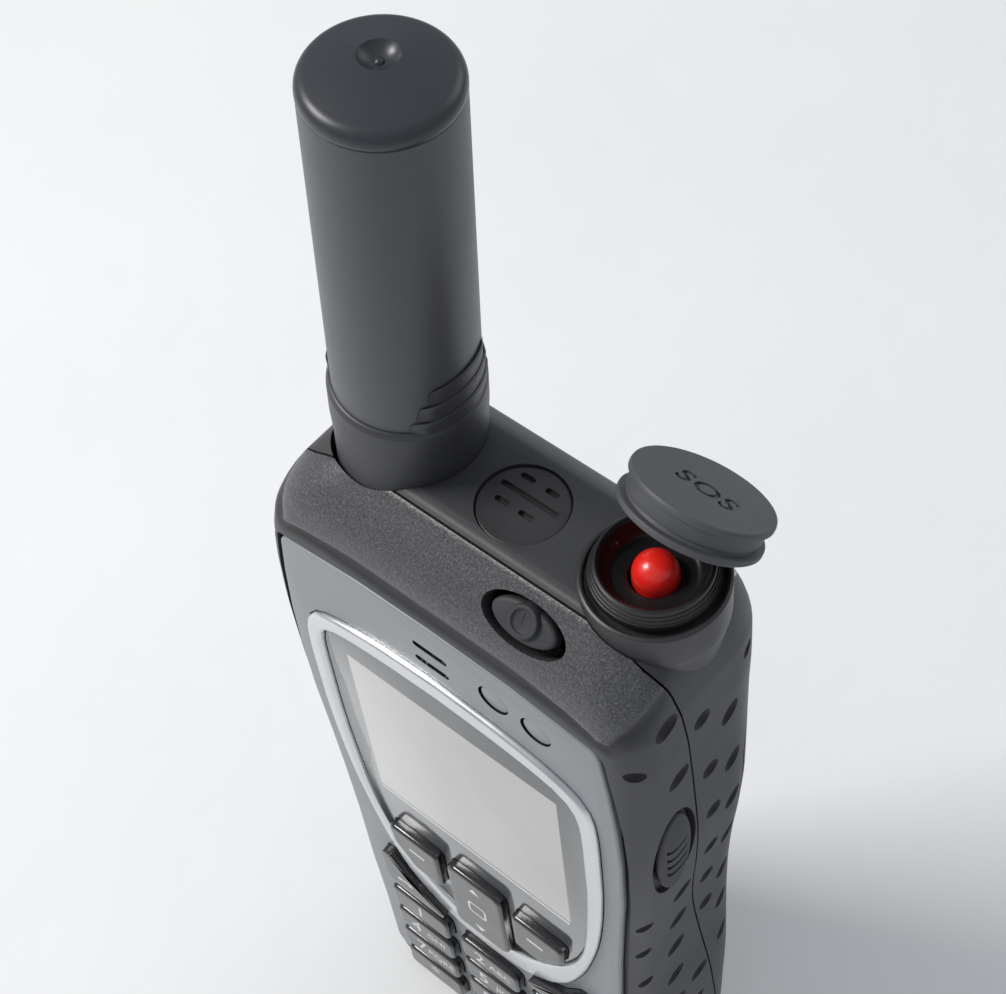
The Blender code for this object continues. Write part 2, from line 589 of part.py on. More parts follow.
def build_inside(b):
    green = (0.03, 0.14, 0.07)
    b.part("main_board", box_mesh("main_board", (-24.0, -9.9, 8.0), (24.0, -9.0, 124.0)), green, 0.5)
    b.part("radio_shield", box_mesh("radio_shield", (-16.0, -8.6, 64.0), (16.0, -6.4, 100.0)),
           (0.7, 0.7, 0.7), 0.3, 1.0)
    b.part("loudspeaker", rod_mesh("loudspeaker", 5.2, (GRILLE_X, GRILLE_Y, 130.5),
                                   (GRILLE_X, GRILLE_Y, 134.5), 28), (0.1, 0.1, 0.1), 0.5)
    grille = b.part("speaker_grille", rod_mesh("speaker_grille", 5.4, (GRILLE_X, GRILLE_Y, 139.5),
                                               (GRILLE_X, GRILLE_Y, 140.2), 32), (0.025, 0.025, 0.027), 0.55)
    b.cut(grille, box_mesh("grille_long", (GRILLE_X - 4.1, GRILLE_Y - 0.45, 130),
                           (GRILLE_X + 4.1, GRILLE_Y + 0.45, 150)))
    for row in (-2.1, 2.1):
        for col in (-1.8, 1.8):
            b.cut(grille, box_mesh("grille_slot", (GRILLE_X + col - 1.0, GRILLE_Y + row - 0.4, 130),
                                   (GRILLE_X + col + 1.0, GRILLE_Y + row + 0.4, 150)))
    b.part("earpiece", box_mesh("earpiece", (-5.4, -12.0, 116.2), (5.4, -10.3, 122.0)), (0.1, 0.1, 0.1), 0.5)
    b.part("microphone", rod_mesh("microphone", 1.6, (0, -10.6, 6.0), (0, -8.9, 6.0), 16),
           (0.7, 0.7, 0.7), 0.3, 1.0)
    b.part("gps_patch_antenna", box_mesh("gps_patch_antenna", (0.8, -8.6, 112.0), (12.8, -4.8, 124.0)),
           (0.75, 0.72, 0.66), 0.5)
    b.part("sim_holder", box_mesh("sim_holder", (-8.0, 7.1, 58.3), (8.0, 7.75, 72.3)),
           (0.7, 0.7, 0.7), 0.3, 1.0)
    b.part("data_connector", box_mesh("data_connector", (-7.0, -4.0, 2.3), (7.0, 0.0, 7.7)),
           (0.05, 0.05, 0.05), 0.5)
    b.part("port_cover", box_mesh("port_cover", (-9.0, -6.0, 0.05), (9.0, 2.0, 1.7)),
           (0.03, 0.03, 0.03), 0.7, origin=(0, -6.0, 0.05))
    for index, (x, z) in enumerate(SCREW_PLACES):
        b.part(f"case_screw_{index + 1}", rod_mesh("screw", 0.9, (x, 0.5, z), (x, 7.6, z), 12),
               (0.6, 0.6, 0.6), 0.3, 1.0)


def main():
    clear_scene()
    b = Builder()
    build_front_housing(b)
    build_rear_housing(b)
    build_battery(b)
    face, window = build_face(b)
    build_keys(b, face, window)
    build_side_keys(b)
    build_antenna(b)
    build_distress(b)
    build_inside(b)


main()
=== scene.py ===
# Satellite distress telephone: the finished look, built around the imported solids.
# +X is to the right seen from the front, the front faces -Y, +Z is up. Sizes below are in millimetres.
from math import asin, atan, atan2, cos, degrees, hypot, pi, radians, sin, tan

import bpy
import numpy as np
from mathutils import Matrix, Vector


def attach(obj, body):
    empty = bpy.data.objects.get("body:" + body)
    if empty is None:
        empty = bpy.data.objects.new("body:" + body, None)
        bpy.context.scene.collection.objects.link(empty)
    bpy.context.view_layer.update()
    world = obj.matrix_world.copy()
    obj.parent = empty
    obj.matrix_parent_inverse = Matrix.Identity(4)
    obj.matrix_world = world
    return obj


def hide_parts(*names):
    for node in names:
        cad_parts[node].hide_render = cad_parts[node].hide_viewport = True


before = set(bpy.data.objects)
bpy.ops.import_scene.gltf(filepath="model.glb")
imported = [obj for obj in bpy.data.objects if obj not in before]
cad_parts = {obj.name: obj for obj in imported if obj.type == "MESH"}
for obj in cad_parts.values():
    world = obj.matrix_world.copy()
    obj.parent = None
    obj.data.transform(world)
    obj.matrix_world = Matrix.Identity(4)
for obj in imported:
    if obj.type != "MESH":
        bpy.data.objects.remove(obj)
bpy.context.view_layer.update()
mm = 0.001
print("frame loaded:", len(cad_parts), "nodes")


def toObjectMode():
    if bpy.context.object and bpy.context.object.mode != "OBJECT":
        bpy.ops.object.mode_set(mode="OBJECT")


def toEditMode(action="SELECT"):
    bpy.ops.object.mode_set(mode="EDIT")
    bpy.ops.mesh.select_all(action=action)


def selectNothing():
    toObjectMode()
    bpy.ops.object.select_all(action="DESELECT")


def selectOnly(obj):
    selectNothing()
    obj.select_set(True)
    bpy.context.view_layer.objects.active = obj


def justAdded(name):
    obj = bpy.context.object
    obj.name = obj.data.name = name
    return obj


def settle(obj):
    # leaves the object at the origin, with its place in its mesh
    selectOnly(obj)
    bpy.ops.object.transform_apply(location=True, rotation=True, scale=True)
    return obj


def placeBy(obj, matrix):
    obj.matrix_world = matrix @ obj.matrix_world
    bpy.context.view_layer.update()
    return settle(obj)


def shift(x, y, z):
    return Matrix.Translation((x * mm, y * mm, z * mm))


def turn(degrees, axis):
    return Matrix.Rotation(radians(degrees), 4, axis)


def joinInto(obj, others):
    selectOnly(obj)
    for other in others:
        other.select_set(True)
    bpy.ops.object.join()
    return obj


def tidyMesh(obj, merge=0.002):
    selectOnly(obj)
    toEditMode()
    bpy.ops.mesh.remove_doubles(threshold=merge * mm)
    bpy.ops.mesh.normals_make_consistent(inside=False)
    bpy.ops.object.mode_set(mode="OBJECT")
    return obj


def smoothed(obj, angle=32):
    selectOnly(obj)
    bpy.ops.object.shade_smooth_by_angle(angle=radians(angle))
    return obj


def applied(obj, kind, **settings):
    selectOnly(obj)
    bpy.ops.object.modifier_add(type=kind)
    modifier = obj.modifiers[-1]
    for key, value in settings.items():
        setattr(modifier, key, value)
    bpy.ops.object.modifier_apply(modifier=modifier.name)
    return obj


def rounded(obj, width, segments=2, angle=38):
    return applied(obj, "BEVEL", width=width * mm, segments=segments, limit_method="ANGLE",
            angle_limit=radians(angle), harden_normals=False)


def cutBy(obj, *cutters):
    # the cut faces keep the first cutter's material, if it has one
    cutter = joinInto(cutters[0], cutters[1:]) if len(cutters) > 1 else cutters[0]
    applied(obj, "BOOLEAN", object=cutter, operation="DIFFERENCE", solver="EXACT",
            material_mode="TRANSFER")
    bpy.data.objects.remove(cutter, do_unlink=True)
    return obj


def box(name, low, high):
    selectNothing()
    bpy.ops.mesh.primitive_cube_add(size=1, location=[(l + h) / 2 * mm for l, h in zip(low, high)])
    obj = justAdded(name)
    obj.scale = [(h - l) * mm for l, h in zip(low, high)]
    return settle(obj)


def ball(name, radius, place, segments):
    selectNothing()
    bpy.ops.mesh.primitive_uv_sphere_add(segments=segments, ring_count=segments // 2, radius=radius * mm,
            location=[p * mm for p in place])
    return settle(justAdded(name))


def filleted(corners, steps=4):
    # corners are (across, up) or (across, up, fillet); the fillets become short arcs
    points = []
    count = len(corners)
    for index, corner in enumerate(corners):
        if len(corner) == 2:
            points.append(tuple(corner))
            continue
        here = Vector(corner[:2])
        toBefore = (Vector(corners[index - 1][:2]) - here).normalized()
        toAfter = (Vector(corners[(index + 1) % count][:2]) - here).normalized()
        half = toBefore.angle(toAfter) / 2
        reach = corner[2] / tan(half)
        centre = here + (toBefore + toAfter).normalized() * corner[2] / sin(half)
        start = here + toBefore * reach - centre
        end = here + toAfter * reach - centre
        turn = start.angle_signed(end)
        for step in range(steps + 1):
            spoke = start.copy()
            spoke.rotate(Matrix.Rotation(-turn * step / steps, 2))
            points.append(tuple(centre + spoke))
    return points


def turned(name, profile, sides=72, closed=False):
    # a circle extruded ring by ring along a profile of radius and height
    selectNothing()
    least = 0.0004
    radius, height = max(profile[0][0], least), profile[0][1]
    bpy.ops.mesh.primitive_circle_add(vertices=sides, radius=radius * mm, location=(0, 0, height * mm))
    obj = justAdded(name)
    settle(obj)
    toEditMode()
    bpy.ops.mesh.select_mode(type="EDGE")
    stops = profile[1:] + ([profile[0]] if closed else [])
    for nextRadius, nextHeight in stops:
        nextRadius = max(nextRadius, least)
        bpy.ops.mesh.extrude_edges_move(
            TRANSFORM_OT_translate={"value": (0, 0, (nextHeight - height) * mm)})
        ratio = nextRadius / radius
        bpy.ops.transform.resize(value=(ratio, ratio, 1), center_override=(0, 0, nextHeight * mm))
        radius, height = nextRadius, nextHeight
    if not closed:
        bpy.ops.mesh.select_all(action="DESELECT")
        bpy.ops.mesh.select_non_manifold()
        bpy.ops.mesh.fill_holes(sides=0)
    return tidyMesh(obj)


def plate(name, outline, front, back):
    # a flat outline in X and Z, extruded from its front to its back
    selectNothing()
    bpy.ops.mesh.primitive_circle_add(vertices=len(outline), fill_type="NGON")
    obj = justAdded(name)
    for vert, (x, z) in zip(obj.data.vertices, outline):
        vert.co = (x * mm, front * mm, z * mm)
    toEditMode()
    bpy.ops.mesh.extrude_region_move(TRANSFORM_OT_translate={"value": (0, (back - front) * mm, 0)})
    return tidyMesh(obj)


def bothSides(half):
    # a closed outline from its right half, which starts and ends on the centre line
    return half + [(-x, z) for x, z in reversed(half[1:-1])]


def moved(outline, distance):
    # the outline moved outwards; it runs anticlockwise
    result = []
    count = len(outline)
    for index in range(count):
        before, here, after = (Vector(outline[(index + k) % count]) for k in (-1, 0, 1))
        first = (here - before).normalized()
        second = (after - here).normalized()
        firstOut = Vector((first.y, -first.x))
        out = (firstOut + Vector((second.y, -second.x))).normalized()
        result.append(tuple(here + out * distance / max(out.dot(firstOut), 0.5)))
    return result


def roundedBox(cx, cz, width, height, radius, steps=4):
    x, z = width / 2, height / 2
    corners = [(cx + x, cz - z, radius), (cx + x, cz + z, radius), (cx - x, cz + z, radius),
            (cx - x, cz - z, radius)]
    return filleted(corners, steps)


def oval(cx, cz, a, b, steps=48):
    turns = [2 * pi * step / steps for step in range(steps)]
    return [(cx + a * cos(t), cz + b * sin(t)) for t in turns]


def smoothThrough(stations, values, where):
    # a curve through the stations that never overshoots between them
    stations, values = np.asarray(stations, float), np.asarray(values, float)
    gaps = np.diff(stations)
    slopes = np.diff(values) / gaps
    tangents = np.zeros(len(values))
    tangents[0], tangents[-1] = slopes[0], slopes[-1]
    for k in range(1, len(slopes)):
        if slopes[k - 1] * slopes[k] > 0:
            first = 2 * gaps[k] + gaps[k - 1]
            second = gaps[k] + 2 * gaps[k - 1]
            tangents[k] = (first + second) / (first / slopes[k - 1] + second / slopes[k])
    place = np.clip(np.searchsorted(stations, where, side="right") - 1, 0, len(gaps) - 1)
    s = (where - stations[place]) / gaps[place]
    fromStart = (2 * s**3 - 3 * s**2 + 1) * values[place] + (3 * s**2 - 2 * s**3) * values[place + 1]
    bend = (s**3 - 2 * s**2 + s) * tangents[place] + (s**3 - s**2) * tangents[place + 1]
    return fromStart + gaps[place] * bend


def easeStep(low, high, value):
    t = np.clip((value - low) / (high - low), 0, 1)
    return t * t * (3 - 2 * t)


def feed(tree, node, inputs):
    # each input is a number, a colour or the output of another node
    for key, value in inputs.items():
        if isinstance(value, bpy.types.NodeSocket):
            tree.links.new(value, node.inputs[key])
        else:
            node.inputs[key].default_value = value


def addNode(tree, kind, inputs, **settings):
    node = tree.nodes.new(kind)
    for key, value in settings.items():
        setattr(node, key, value)
    feed(tree, node, inputs)
    return node


def newFinish(name, colour, roughness, metallic=0.0):
    finish = bpy.data.materials.new(name)
    finish.use_nodes = True
    tree = finish.node_tree
    shader = tree.nodes["Principled BSDF"]
    feed(tree, shader, {"Base Color": (*colour, 1), "Roughness": roughness, "Metallic": metallic})
    return finish, tree, shader


def noiseOn(tree, scale, detail=3.0, roughness=0.5):
    place = tree.nodes.get("Object place")
    if place is None:
        place = addNode(tree, "ShaderNodeTexCoord", {}, name="Object place")
    noise = addNode(tree, "ShaderNodeTexNoise",
            {"Scale": scale, "Detail": detail, "Roughness": roughness, "Vector": place.outputs["Object"]})
    return noise.outputs["Fac"]


def rampFrom(tree, source, stops):
    ramp = addNode(tree, "ShaderNodeValToRGB", {"Fac": source})
    elements = ramp.color_ramp.elements
    for element, (position, colour) in zip(elements, stops):
        element.position = position
        element.color = (*colour, 1)
    for position, colour in stops[2:]:
        elements.new(position).color = (*colour, 1)
    return ramp.outputs["Color"]


def rangeFrom(tree, source, low, high, start=0.3, end=0.7):
    ranged = addNode(tree, "ShaderNodeMapRange",
            {"Value": source, "From Min": start, "From Max": end, "To Min": low, "To Max": high})
    return ranged.outputs["Result"]


def mixOf(tree, factor, first, second):
    mix = addNode(tree, "ShaderNodeMix", {"Factor": factor, "A": first, "B": second}, data_type="RGBA")
    return mix.outputs["Result"]


def productOf(tree, first, second):
    product = addNode(tree, "ShaderNodeMath", {0: first, 1: second}, operation="MULTIPLY")
    return product.outputs["Value"]


def bumpOf(tree, height, distance, strength=1.0):
    bump = addNode(tree, "ShaderNodeBump", {"Height": height, "Distance": distance * mm,
            "Strength": strength})
    return bump.outputs["Normal"]


def mouldedFinish(name, tone, spread=0.12, roughness=(0.45, 0.6), patch=70, grain=2600, grainDepth=0.02,
        metallic=0.0, dust=0.0, coat=0.0):
    # two close tones drifting over the part, a fine grain pressed into it, and dust caught here and there
    finish, tree, shader = newFinish(name, tone, roughness[0], metallic)
    drift = noiseOn(tree, patch, 4)
    dark, light = ([c * (1 + way * spread) for c in tone] for way in (-1, 1))
    colour = rampFrom(tree, drift, [(0.3, dark), (0.7, light)])
    if dust:
        caught = productOf(tree, noiseOn(tree, 1400, 2), noiseOn(tree, 45, 2))
        mask = rampFrom(tree, caught, [(0.40, (0, 0, 0)), (0.47, (dust, dust, dust))])
        colour = mixOf(tree, mask, colour, (0.42, 0.42, 0.43, 1))
    feed(tree, shader, {"Base Color": colour, "Roughness": rangeFrom(tree, drift, *roughness)})
    if grainDepth:
        feed(tree, shader, {"Normal": bumpOf(tree, noiseOn(tree, grain, 2, 0.6), grainDepth)})
    if coat:
        feed(tree, shader, {"Coat Weight": coat, "Coat Roughness": 0.08})
    return finish


def casingFinish(name):
    # soft-touch sides and back, a coarser spark texture with painted glints in its brightest flecks where the
    # mesh's spark value is 1, and a painted shade where its valley value is high
    finish, tree, shader = newFinish(name, (0.04, 0.04, 0.043), 0.5)
    spark, valley = (addNode(tree, "ShaderNodeAttribute", {}, attribute_name=layer).outputs["Fac"]
            for layer in ("spark", "valley"))
    drift = noiseOn(tree, 55, 4)
    soft = rampFrom(tree, drift, [(0.3, (0.029, 0.030, 0.033)), (0.7, (0.037, 0.038, 0.042))])
    # the roll's own grain with painted glints: its brightest flecks stand in for highlights on the texture
    hard = rampFrom(tree, noiseOn(tree, 4200, 2, 0.7),
            [(0.35, (0.040, 0.040, 0.045)), (0.55, (0.074, 0.075, 0.079)), (0.70, (0.14, 0.141, 0.146))])
    # painted shade: the valley value mixes in a near-black colour along the groove between the roll and the
    # faceplate
    colour = mixOf(tree, valley, mixOf(tree, spark, soft, hard), (0.007, 0.007, 0.008, 1))
    dull = rangeFrom(tree, drift, 0.44, 0.56)
    depth = rangeFrom(tree, spark, 0.25, 1, 0, 1)
    feed(tree, shader, {"Base Color": colour, "Roughness": rangeFrom(tree, spark, dull, 0.36, 0, 1),
            "Normal": bumpOf(tree, noiseOn(tree, 2100, 3, 0.65), 0.085, depth)})
    return finish


finishes = {
    "casing": casingFinish("soft touch casing"),
    "faceplate": mouldedFinish("satin grey faceplate", (0.25, 0.265, 0.28), 0.05, (0.34, 0.44), 90, 3000,
        0.006),
    "trim": mouldedFinish("bright trim", (0.70, 0.71, 0.72), 0.03, (0.24, 0.34), 200, 3500, 0,
        metallic=1),
    "key": mouldedFinish("gloss black key", (0.018, 0.018, 0.020), 0.15, (0.16, 0.28), 220, 1800, 0.004,
        dust=0.25, coat=0.4),
    "legend": mouldedFinish("white legend", (0.72, 0.73, 0.72), 0.04, (0.4, 0.5), 300, 3000, 0),
    "tube": mouldedFinish("satin antenna", (0.060, 0.064, 0.072), 0.06, (0.36, 0.46), 60, 3000, 0.006),
    "antennaTop": mouldedFinish("antenna top", (0.028, 0.031, 0.038), 0.08, (0.30, 0.40), 90, 3000,
        0.006),
    "collar": mouldedFinish("antenna collar", (0.032, 0.033, 0.038), 0.10, (0.38, 0.5), 90, 2600, 0.010,
        dust=0.15),
    # painted shade: a darker copy of the casing for the walls of the grip pockets
    "pocket": mouldedFinish("grip pocket painted shade", (0.012, 0.012, 0.0135), 0.1, (0.5, 0.6), 120, 2000, 0.01),
    "rubber": mouldedFinish("matte rubber", (0.032, 0.033, 0.036), 0.12, (0.55, 0.7), 120, 1500, 0.02,
        dust=0.3),
    "cap": mouldedFinish("cap rubber", (0.072, 0.074, 0.079), 0.10, (0.5, 0.62), 160, 2200, 0.016,
        dust=0.4),
    # the distress button's black neck, and painted shade on the walls of the holes cut in the faceplate and the
    # window
    "well": mouldedFinish("black well and painted shade", (0.007, 0.007, 0.008), 0.15, (0.30, 0.42), 160, 2200, 0.008,
        dust=0.5),
    "red": mouldedFinish("red button", (0.80, 0.018, 0.012), 0.05, (0.24, 0.32), 160, 2600, 0.003,
        coat=0.2),
    "grille": mouldedFinish("grille plastic", (0.026, 0.026, 0.028), 0.12, (0.36, 0.48), 160, 2200,
        0.015, dust=0.4),
    "steel": mouldedFinish("turned steel", (0.55, 0.55, 0.54), 0.08, (0.25, 0.4), 400, 3000, 0.006,
        metallic=1),
    "board": mouldedFinish("circuit board", (0.02, 0.10, 0.05), 0.2, (0.3, 0.45), 300, 900, 0.02),
    "gold": mouldedFinish("gold contact", (0.83, 0.62, 0.27), 0.08, (0.2, 0.35), 300, 3000, 0.004,
        metallic=1),
    "ceramic": mouldedFinish("ceramic patch", (0.62, 0.58, 0.50), 0.08, (0.4, 0.55), 300, 1800, 0.02),
    "inner": mouldedFinish("inner plastic", (0.05, 0.05, 0.052), 0.2, (0.5, 0.65), 200, 1500, 0.02),
}


def displayFinish(name, edge):
    # a dark printed border round the lighter active area, under one glossy face
    finish, tree, shader = newFinish(name, (0.3, 0.3, 0.3), 0.1)
    drift = noiseOn(tree, 60, 3)
    split = addNode(tree, "ShaderNodeSeparateXYZ", {"Vector": tree.nodes["Object place"].outputs["Object"]})
    inside = 1.0
    for axis, limit, sign in (("X", -edge["half"], 1), ("X", edge["half"], -1), ("Z", edge["low"], 1),
            ("Z", edge["high"], -1)):
        start, end = ((limit + way * sign * edge["soft"]) * mm for way in (-1, 1))
        inside = productOf(tree, inside, rangeFrom(tree, split.outputs[axis], 0, 1, start, end))
    active, border = (rampFrom(tree, drift, list(zip((0.3, 0.7), edge[part])))
            for part in ("active", "border"))
    feed(tree, shader, {"Base Color": mixOf(tree, inside, border, active),
            "Roughness": rangeFrom(tree, drift, 0.10, 0.2), "Coat Weight": 1, "Coat Roughness": 0.03})
    return finish


def dress(obj, finish, body, *nodes):
    # gives a piece its finish, its body and the solids it stands for, which it hides
    if finish is not None:
        obj.data.materials.clear()
        obj.data.materials.append(finishes[finish])
    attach(obj, body)
    if nodes:
        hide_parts(*nodes)
    return obj


casing = {
    # the section at each height: how far it reaches each way from the middle, and its corners' radii
    "height": [0, 0.35, 1, 2.8, 6, 23, 37, 51, 64, 75, 85, 95, 105, 115, 122, 127.5, 130, 132.2, 134.5,
        136.5, 138.2, 139.5, 140.15, 140.4],
    "left": [22, 23.3, 24.4, 25.6, 26.3, 27.1, 27.5, 27.4, 27.6, 28.3, 29.3, 29.9, 30, 29.5, 28.8, 27.8,
        27, 26.1, 24.7, 23.1, 21.1, 18.9, 17.2, 15.4],
    "right": [22, 23.3, 24.4, 25.6, 26.3, 27.1, 27.5, 27.4, 27.6, 28.3, 29.3, 29.9, 30, 30.1, 30.3, 30.3,
        30, 29.6, 28.9, 27.8, 26.1, 24.3, 22.9, 21.2],
    "frontDepth": [10.4, 11.5, 12.3, 13.2] + [13.5] * 12 + [13.2, 12.6, 11.5, 10, 8.4, 7.2, 6.5, 5.4],
    "backDepth": [10.4, 11.5, 12.3, 13.2] + [13.5] * 11 + [13.4, 13.1, 12.5, 11.7, 10.5, 9, 7.6, 6.6,
        5.2],
    "frontCorner": [5, 5, 5, 4.6] + [4.2] * 10 + [4.5, 5.2, 5.7, 6.2, 6.5, 6.5, 6, 5.6, 5, 4],
    "backCorner": [7, 7.6] + [8] * 17 + [7.6, 6.8, 5.8, 5, 4],
    "lowRows": 130,  # rows below the top roll
    "topRows": 60,
    "topFrom": 120,
    "front": 26, "corner": 12, "side": 24, "back": 16,  # faces round a section
    # the shells part here: height, depth
    "parting": [(-3, 7.2), (8, 7.1), (20, 6.4), (31, 5), (40, 3.9), (52, 2.2), (64, 0.4), (72, -0.6),
        (80, -1.1), (90, -1.5), (99, -2), (107, -2.6), (116, -3.4), (124, -4.5), (130, -5.5),
        (134, -6.2), (136.5, -7.1), (142, -7.2)],
    "partingGap": 0.28,
    # the pack's edge in the side view: depth, height
    "packEdge": [(10.6, -3), (10.5, 24), (10.1, 50), (9.4, 65), (9, 78), (8.6, 90), (8.3, 99),
        (9, 104.6)],
    "packTop": [(9, 104.6), (10, 107.6), (11, 109.6), (13, 110.6), (18, 110.8)],
    "packGap": 0.3,
    "wall": 1.7,
    "hollow": {"lowRows": 24, "topRows": 14, "front": 4, "corner": 5, "side": 3, "back": 4},
    "crease": {"middle": 130, "drop": 1.9, "rise": 2.6, "from": -13.2, "proud": 0.25, "valley": 0.5},
}


def sectionTable():
    columns = ("height", "left", "right", "frontDepth", "backDepth", "frontCorner", "backCorner")
    return np.array([casing[name] for name in columns], float).T


def partingDepth(height):
    table = np.array(casing["parting"], float)
    return smoothThrough(table[:, 0], table[:, 1], height)


def aboveCrease(x, y, z):
    # how far a point lies above the line where the textured roll begins
    crease = casing["crease"]
    line = crease["middle"] - crease["drop"] * (np.clip(np.abs(x), 0, 24.5) / 24.5) ** 6
    behind = np.clip(y - crease["from"], 0, None)
    return z - line - crease["rise"] * (np.sqrt(behind + 0.05) - 0.22)


def sectionColumns(counts):
    # the way round a section as (corner signs, corner angle) or (from corner, to corner, share)
    columns = []
    corners = ((-1, 1, 90), (-1, -1, 180), (1, -1, 270), (1, 1, 0))
    for index, (sx, sy, first) in enumerate(corners):
        for step in range(counts["corner"] + 1):
            columns.append(("arc", sx, sy, radians(first + 90 * step / counts["corner"])))
        following = corners[(index + 1) % 4]
        number = (counts["side"], counts["front"], counts["side"], counts["back"])[index]
        for step in range(1, number):
            columns.append(("run", (sx, sy), following[:2], step / number))
    return columns


def wrapCasing(name, counts, inset=0.0, features=True):
    table = sectionTable()
    gaps = np.hypot(np.diff(table[:, 0]), np.diff(table[:, 3]) + 0.5 * np.diff(table[:, 1]))
    stations = np.concatenate([[0], np.cumsum(gaps)])
    split = float(np.interp(casing["topFrom"], table[:, 0], stations))
    where = np.concatenate([np.linspace(0, split, counts["lowRows"], endpoint=False),
            np.linspace(split, stations[-1], counts["topRows"])])
    z, left, right, front, back, frontCorner, backCorner = (
        smoothThrough(stations, column, where) for column in table.T)
    if inset:
        z = inset + z * (table[-1, 0] - 2 * inset) / table[-1, 0]
        frontWall = inset + 1.2 * (1 - easeStep(122, 127, z))
        left, right, back, front = left - inset, right - inset, back - inset, front - frontWall
        frontCorner, backCorner = np.maximum(frontCorner - inset, 1), np.maximum(backCorner - inset, 1)

    def arcPoint(sx, sy, angle):
        width = np.where(sx > 0, right, left)
        depth = np.where(sy > 0, back, front)
        radius = backCorner if sy > 0 else frontCorner
        return (sx * (width - radius) + radius * cos(angle), sy * (depth - radius) + radius * sin(angle))

    ends = {(-1, 1): (90, 180), (-1, -1): (180, 270), (1, -1): (270, 360), (1, 1): (0, 90)}
    points = []
    for column in sectionColumns(counts):
        if column[0] == "arc":
            x, y = arcPoint(*column[1:])
        else:
            fromX, fromY = arcPoint(*column[1], radians(ends[column[1]][1]))
            toX, toY = arcPoint(*column[2], radians(ends[column[2]][0]))
            share = column[3]
            x, y = fromX + (toX - fromX) * share, fromY + (toY - fromY) * share
        points.append(np.stack([x, y, z], axis=-1))
    points = np.array(points + [points[0]])
    if features:
        along = np.roll(points[:-1], -1, axis=0) - np.roll(points[:-1], 1, axis=0)
        along = np.concatenate([along, along[:1]])
        upward = np.gradient(points, axis=1)
        normals = np.cross(along, upward)
        normals /= np.linalg.norm(normals, axis=-1, keepdims=True)
        x, y, height = points[..., 0], points[..., 1], points[..., 2]
        over = aboveCrease(x, y, height)
        ahead = easeStep(-0.3, 0.3, partingDepth(height) - y)
        facing = easeStep(0.2, 0.9, -normals[..., 1])
        crease = casing["crease"]
        lift = crease["proud"] * easeStep(-0.35, 0.35, over) * ahead
        lift = lift - crease["valley"] * np.exp(-(((over + 0.7) / 0.8) ** 2)) * ahead * (0.1 + 0.9 * facing)
        points = points + normals * lift[..., None]
    columns, rows = points.shape[:2]
    selectNothing()
    bpy.ops.mesh.primitive_grid_add(x_subdivisions=columns - 1, y_subdivisions=rows - 1, size=2)
    obj = justAdded(name)
    flat = np.zeros(len(obj.data.vertices) * 3)
    obj.data.vertices.foreach_get("co", flat)
    flat = flat.reshape(-1, 3)
    i = np.rint((flat[:, 0] + 1) / 2 * (columns - 1)).astype(int)
    j = np.rint((flat[:, 1] + 1) / 2 * (rows - 1)).astype(int)
    obj.data.vertices.foreach_set("co", (points[i, j] * mm).ravel())
    obj.data.update()
    tidyMesh(obj)
    toEditMode("DESELECT")
    bpy.ops.mesh.select_non_manifold()
    bpy.ops.mesh.fill_holes(sides=0)
    obj.data.materials.append(finishes["casing"])
    return tidyMesh(obj)


def sideBlade(name, line, gap):
    # a thin upright sheet across the telephone that follows a line of (depth, height)
    line = [Vector(p) for p in line]
    above, below = [], []
    for index, here in enumerate(line):
        run = line[min(index + 1, len(line) - 1)] - line[max(index - 1, 0)]
        out = Vector((-run.y, run.x)).normalized() * gap / 2
        above.append(tuple(here + out))
        below.append(tuple(here - out))
    return placeBy(plate(name, above + below[::-1], -40, 40), turn(90, "Z"))


def sideSpot(y, z, side):
    # a place on the casing's side wall with the wall's outward and rearward directions
    table = sectionTable()
    width, front, back, frontCorner, backCorner = (
        float(np.interp(z, table[:, 0], table[:, k])) for k in (2 if side > 0 else 1, 3, 4, 5, 6))
    if y > back - backCorner:
        lean = asin(min((y - back + backCorner) / backCorner, 1))
        x = width - backCorner * (1 - cos(lean))
    elif y < frontCorner - front:
        lean = -asin(min((frontCorner - front - y) / frontCorner, 1))
        x = width - frontCorner * (1 - cos(lean))
    else:
        lean, x = 0, width
    outward = Vector((side * cos(lean), sin(lean), 0))
    rearward = Vector((-side * sin(lean), cos(lean), 0))
    return Vector((side * x, y, z)) * mm, outward, rearward


grip = {
    # each column: half length, half height, tilt in degrees, then its places as (depth, height)
    "columns": {
        "corner": (1.6, 1.1, -18, ((-12.1, 122.2), (-10.9, 78.2), (-10.6, 68.6), (-10.2, 57.8),
            (-10, 48))),
        "front": (2.1, 1.5, 27, ((-7.7, 128.4), (-5.5, 113.7), (-3.4, 77.3), (-3.4, 67.8), (-3.7, 58.8),
            (-3.8, 48.8), (1.6, 40.3), (-3.6, 38.6), (0.9, 30))),
        "seam": (1.55, 1.6, 30, ((-1.4, 121.8), (0.6, 106.8), (1.5, 94.8), (2.1, 82.6), (2.5, 71.9),
            (3, 61.8))),
        "middle": (2.2, 1.35, 58, ((4.2, 115.6), (5.2, 102.7), (5.7, 91.5), (6.2, 79.6), (6.7, 66.5),
            (6.9, 56.2), (7.4, 44.4))),
        "rear": (1.4, 1, 45, ((7.6, 125.3),)),
        "pack": (1.4, 1.25, 45, ((10.9, 98.5), (10.9, 90), (11, 80), (11.2, 68.6), (11.5, 56),
            (11.7, 44.7), (11.8, 34), (11.8, 24)))},
    "depth": 1.25,  # half depth of the pocket's tool
    "stand": 0.3,  # how far the tool's middle stands off the wall
}


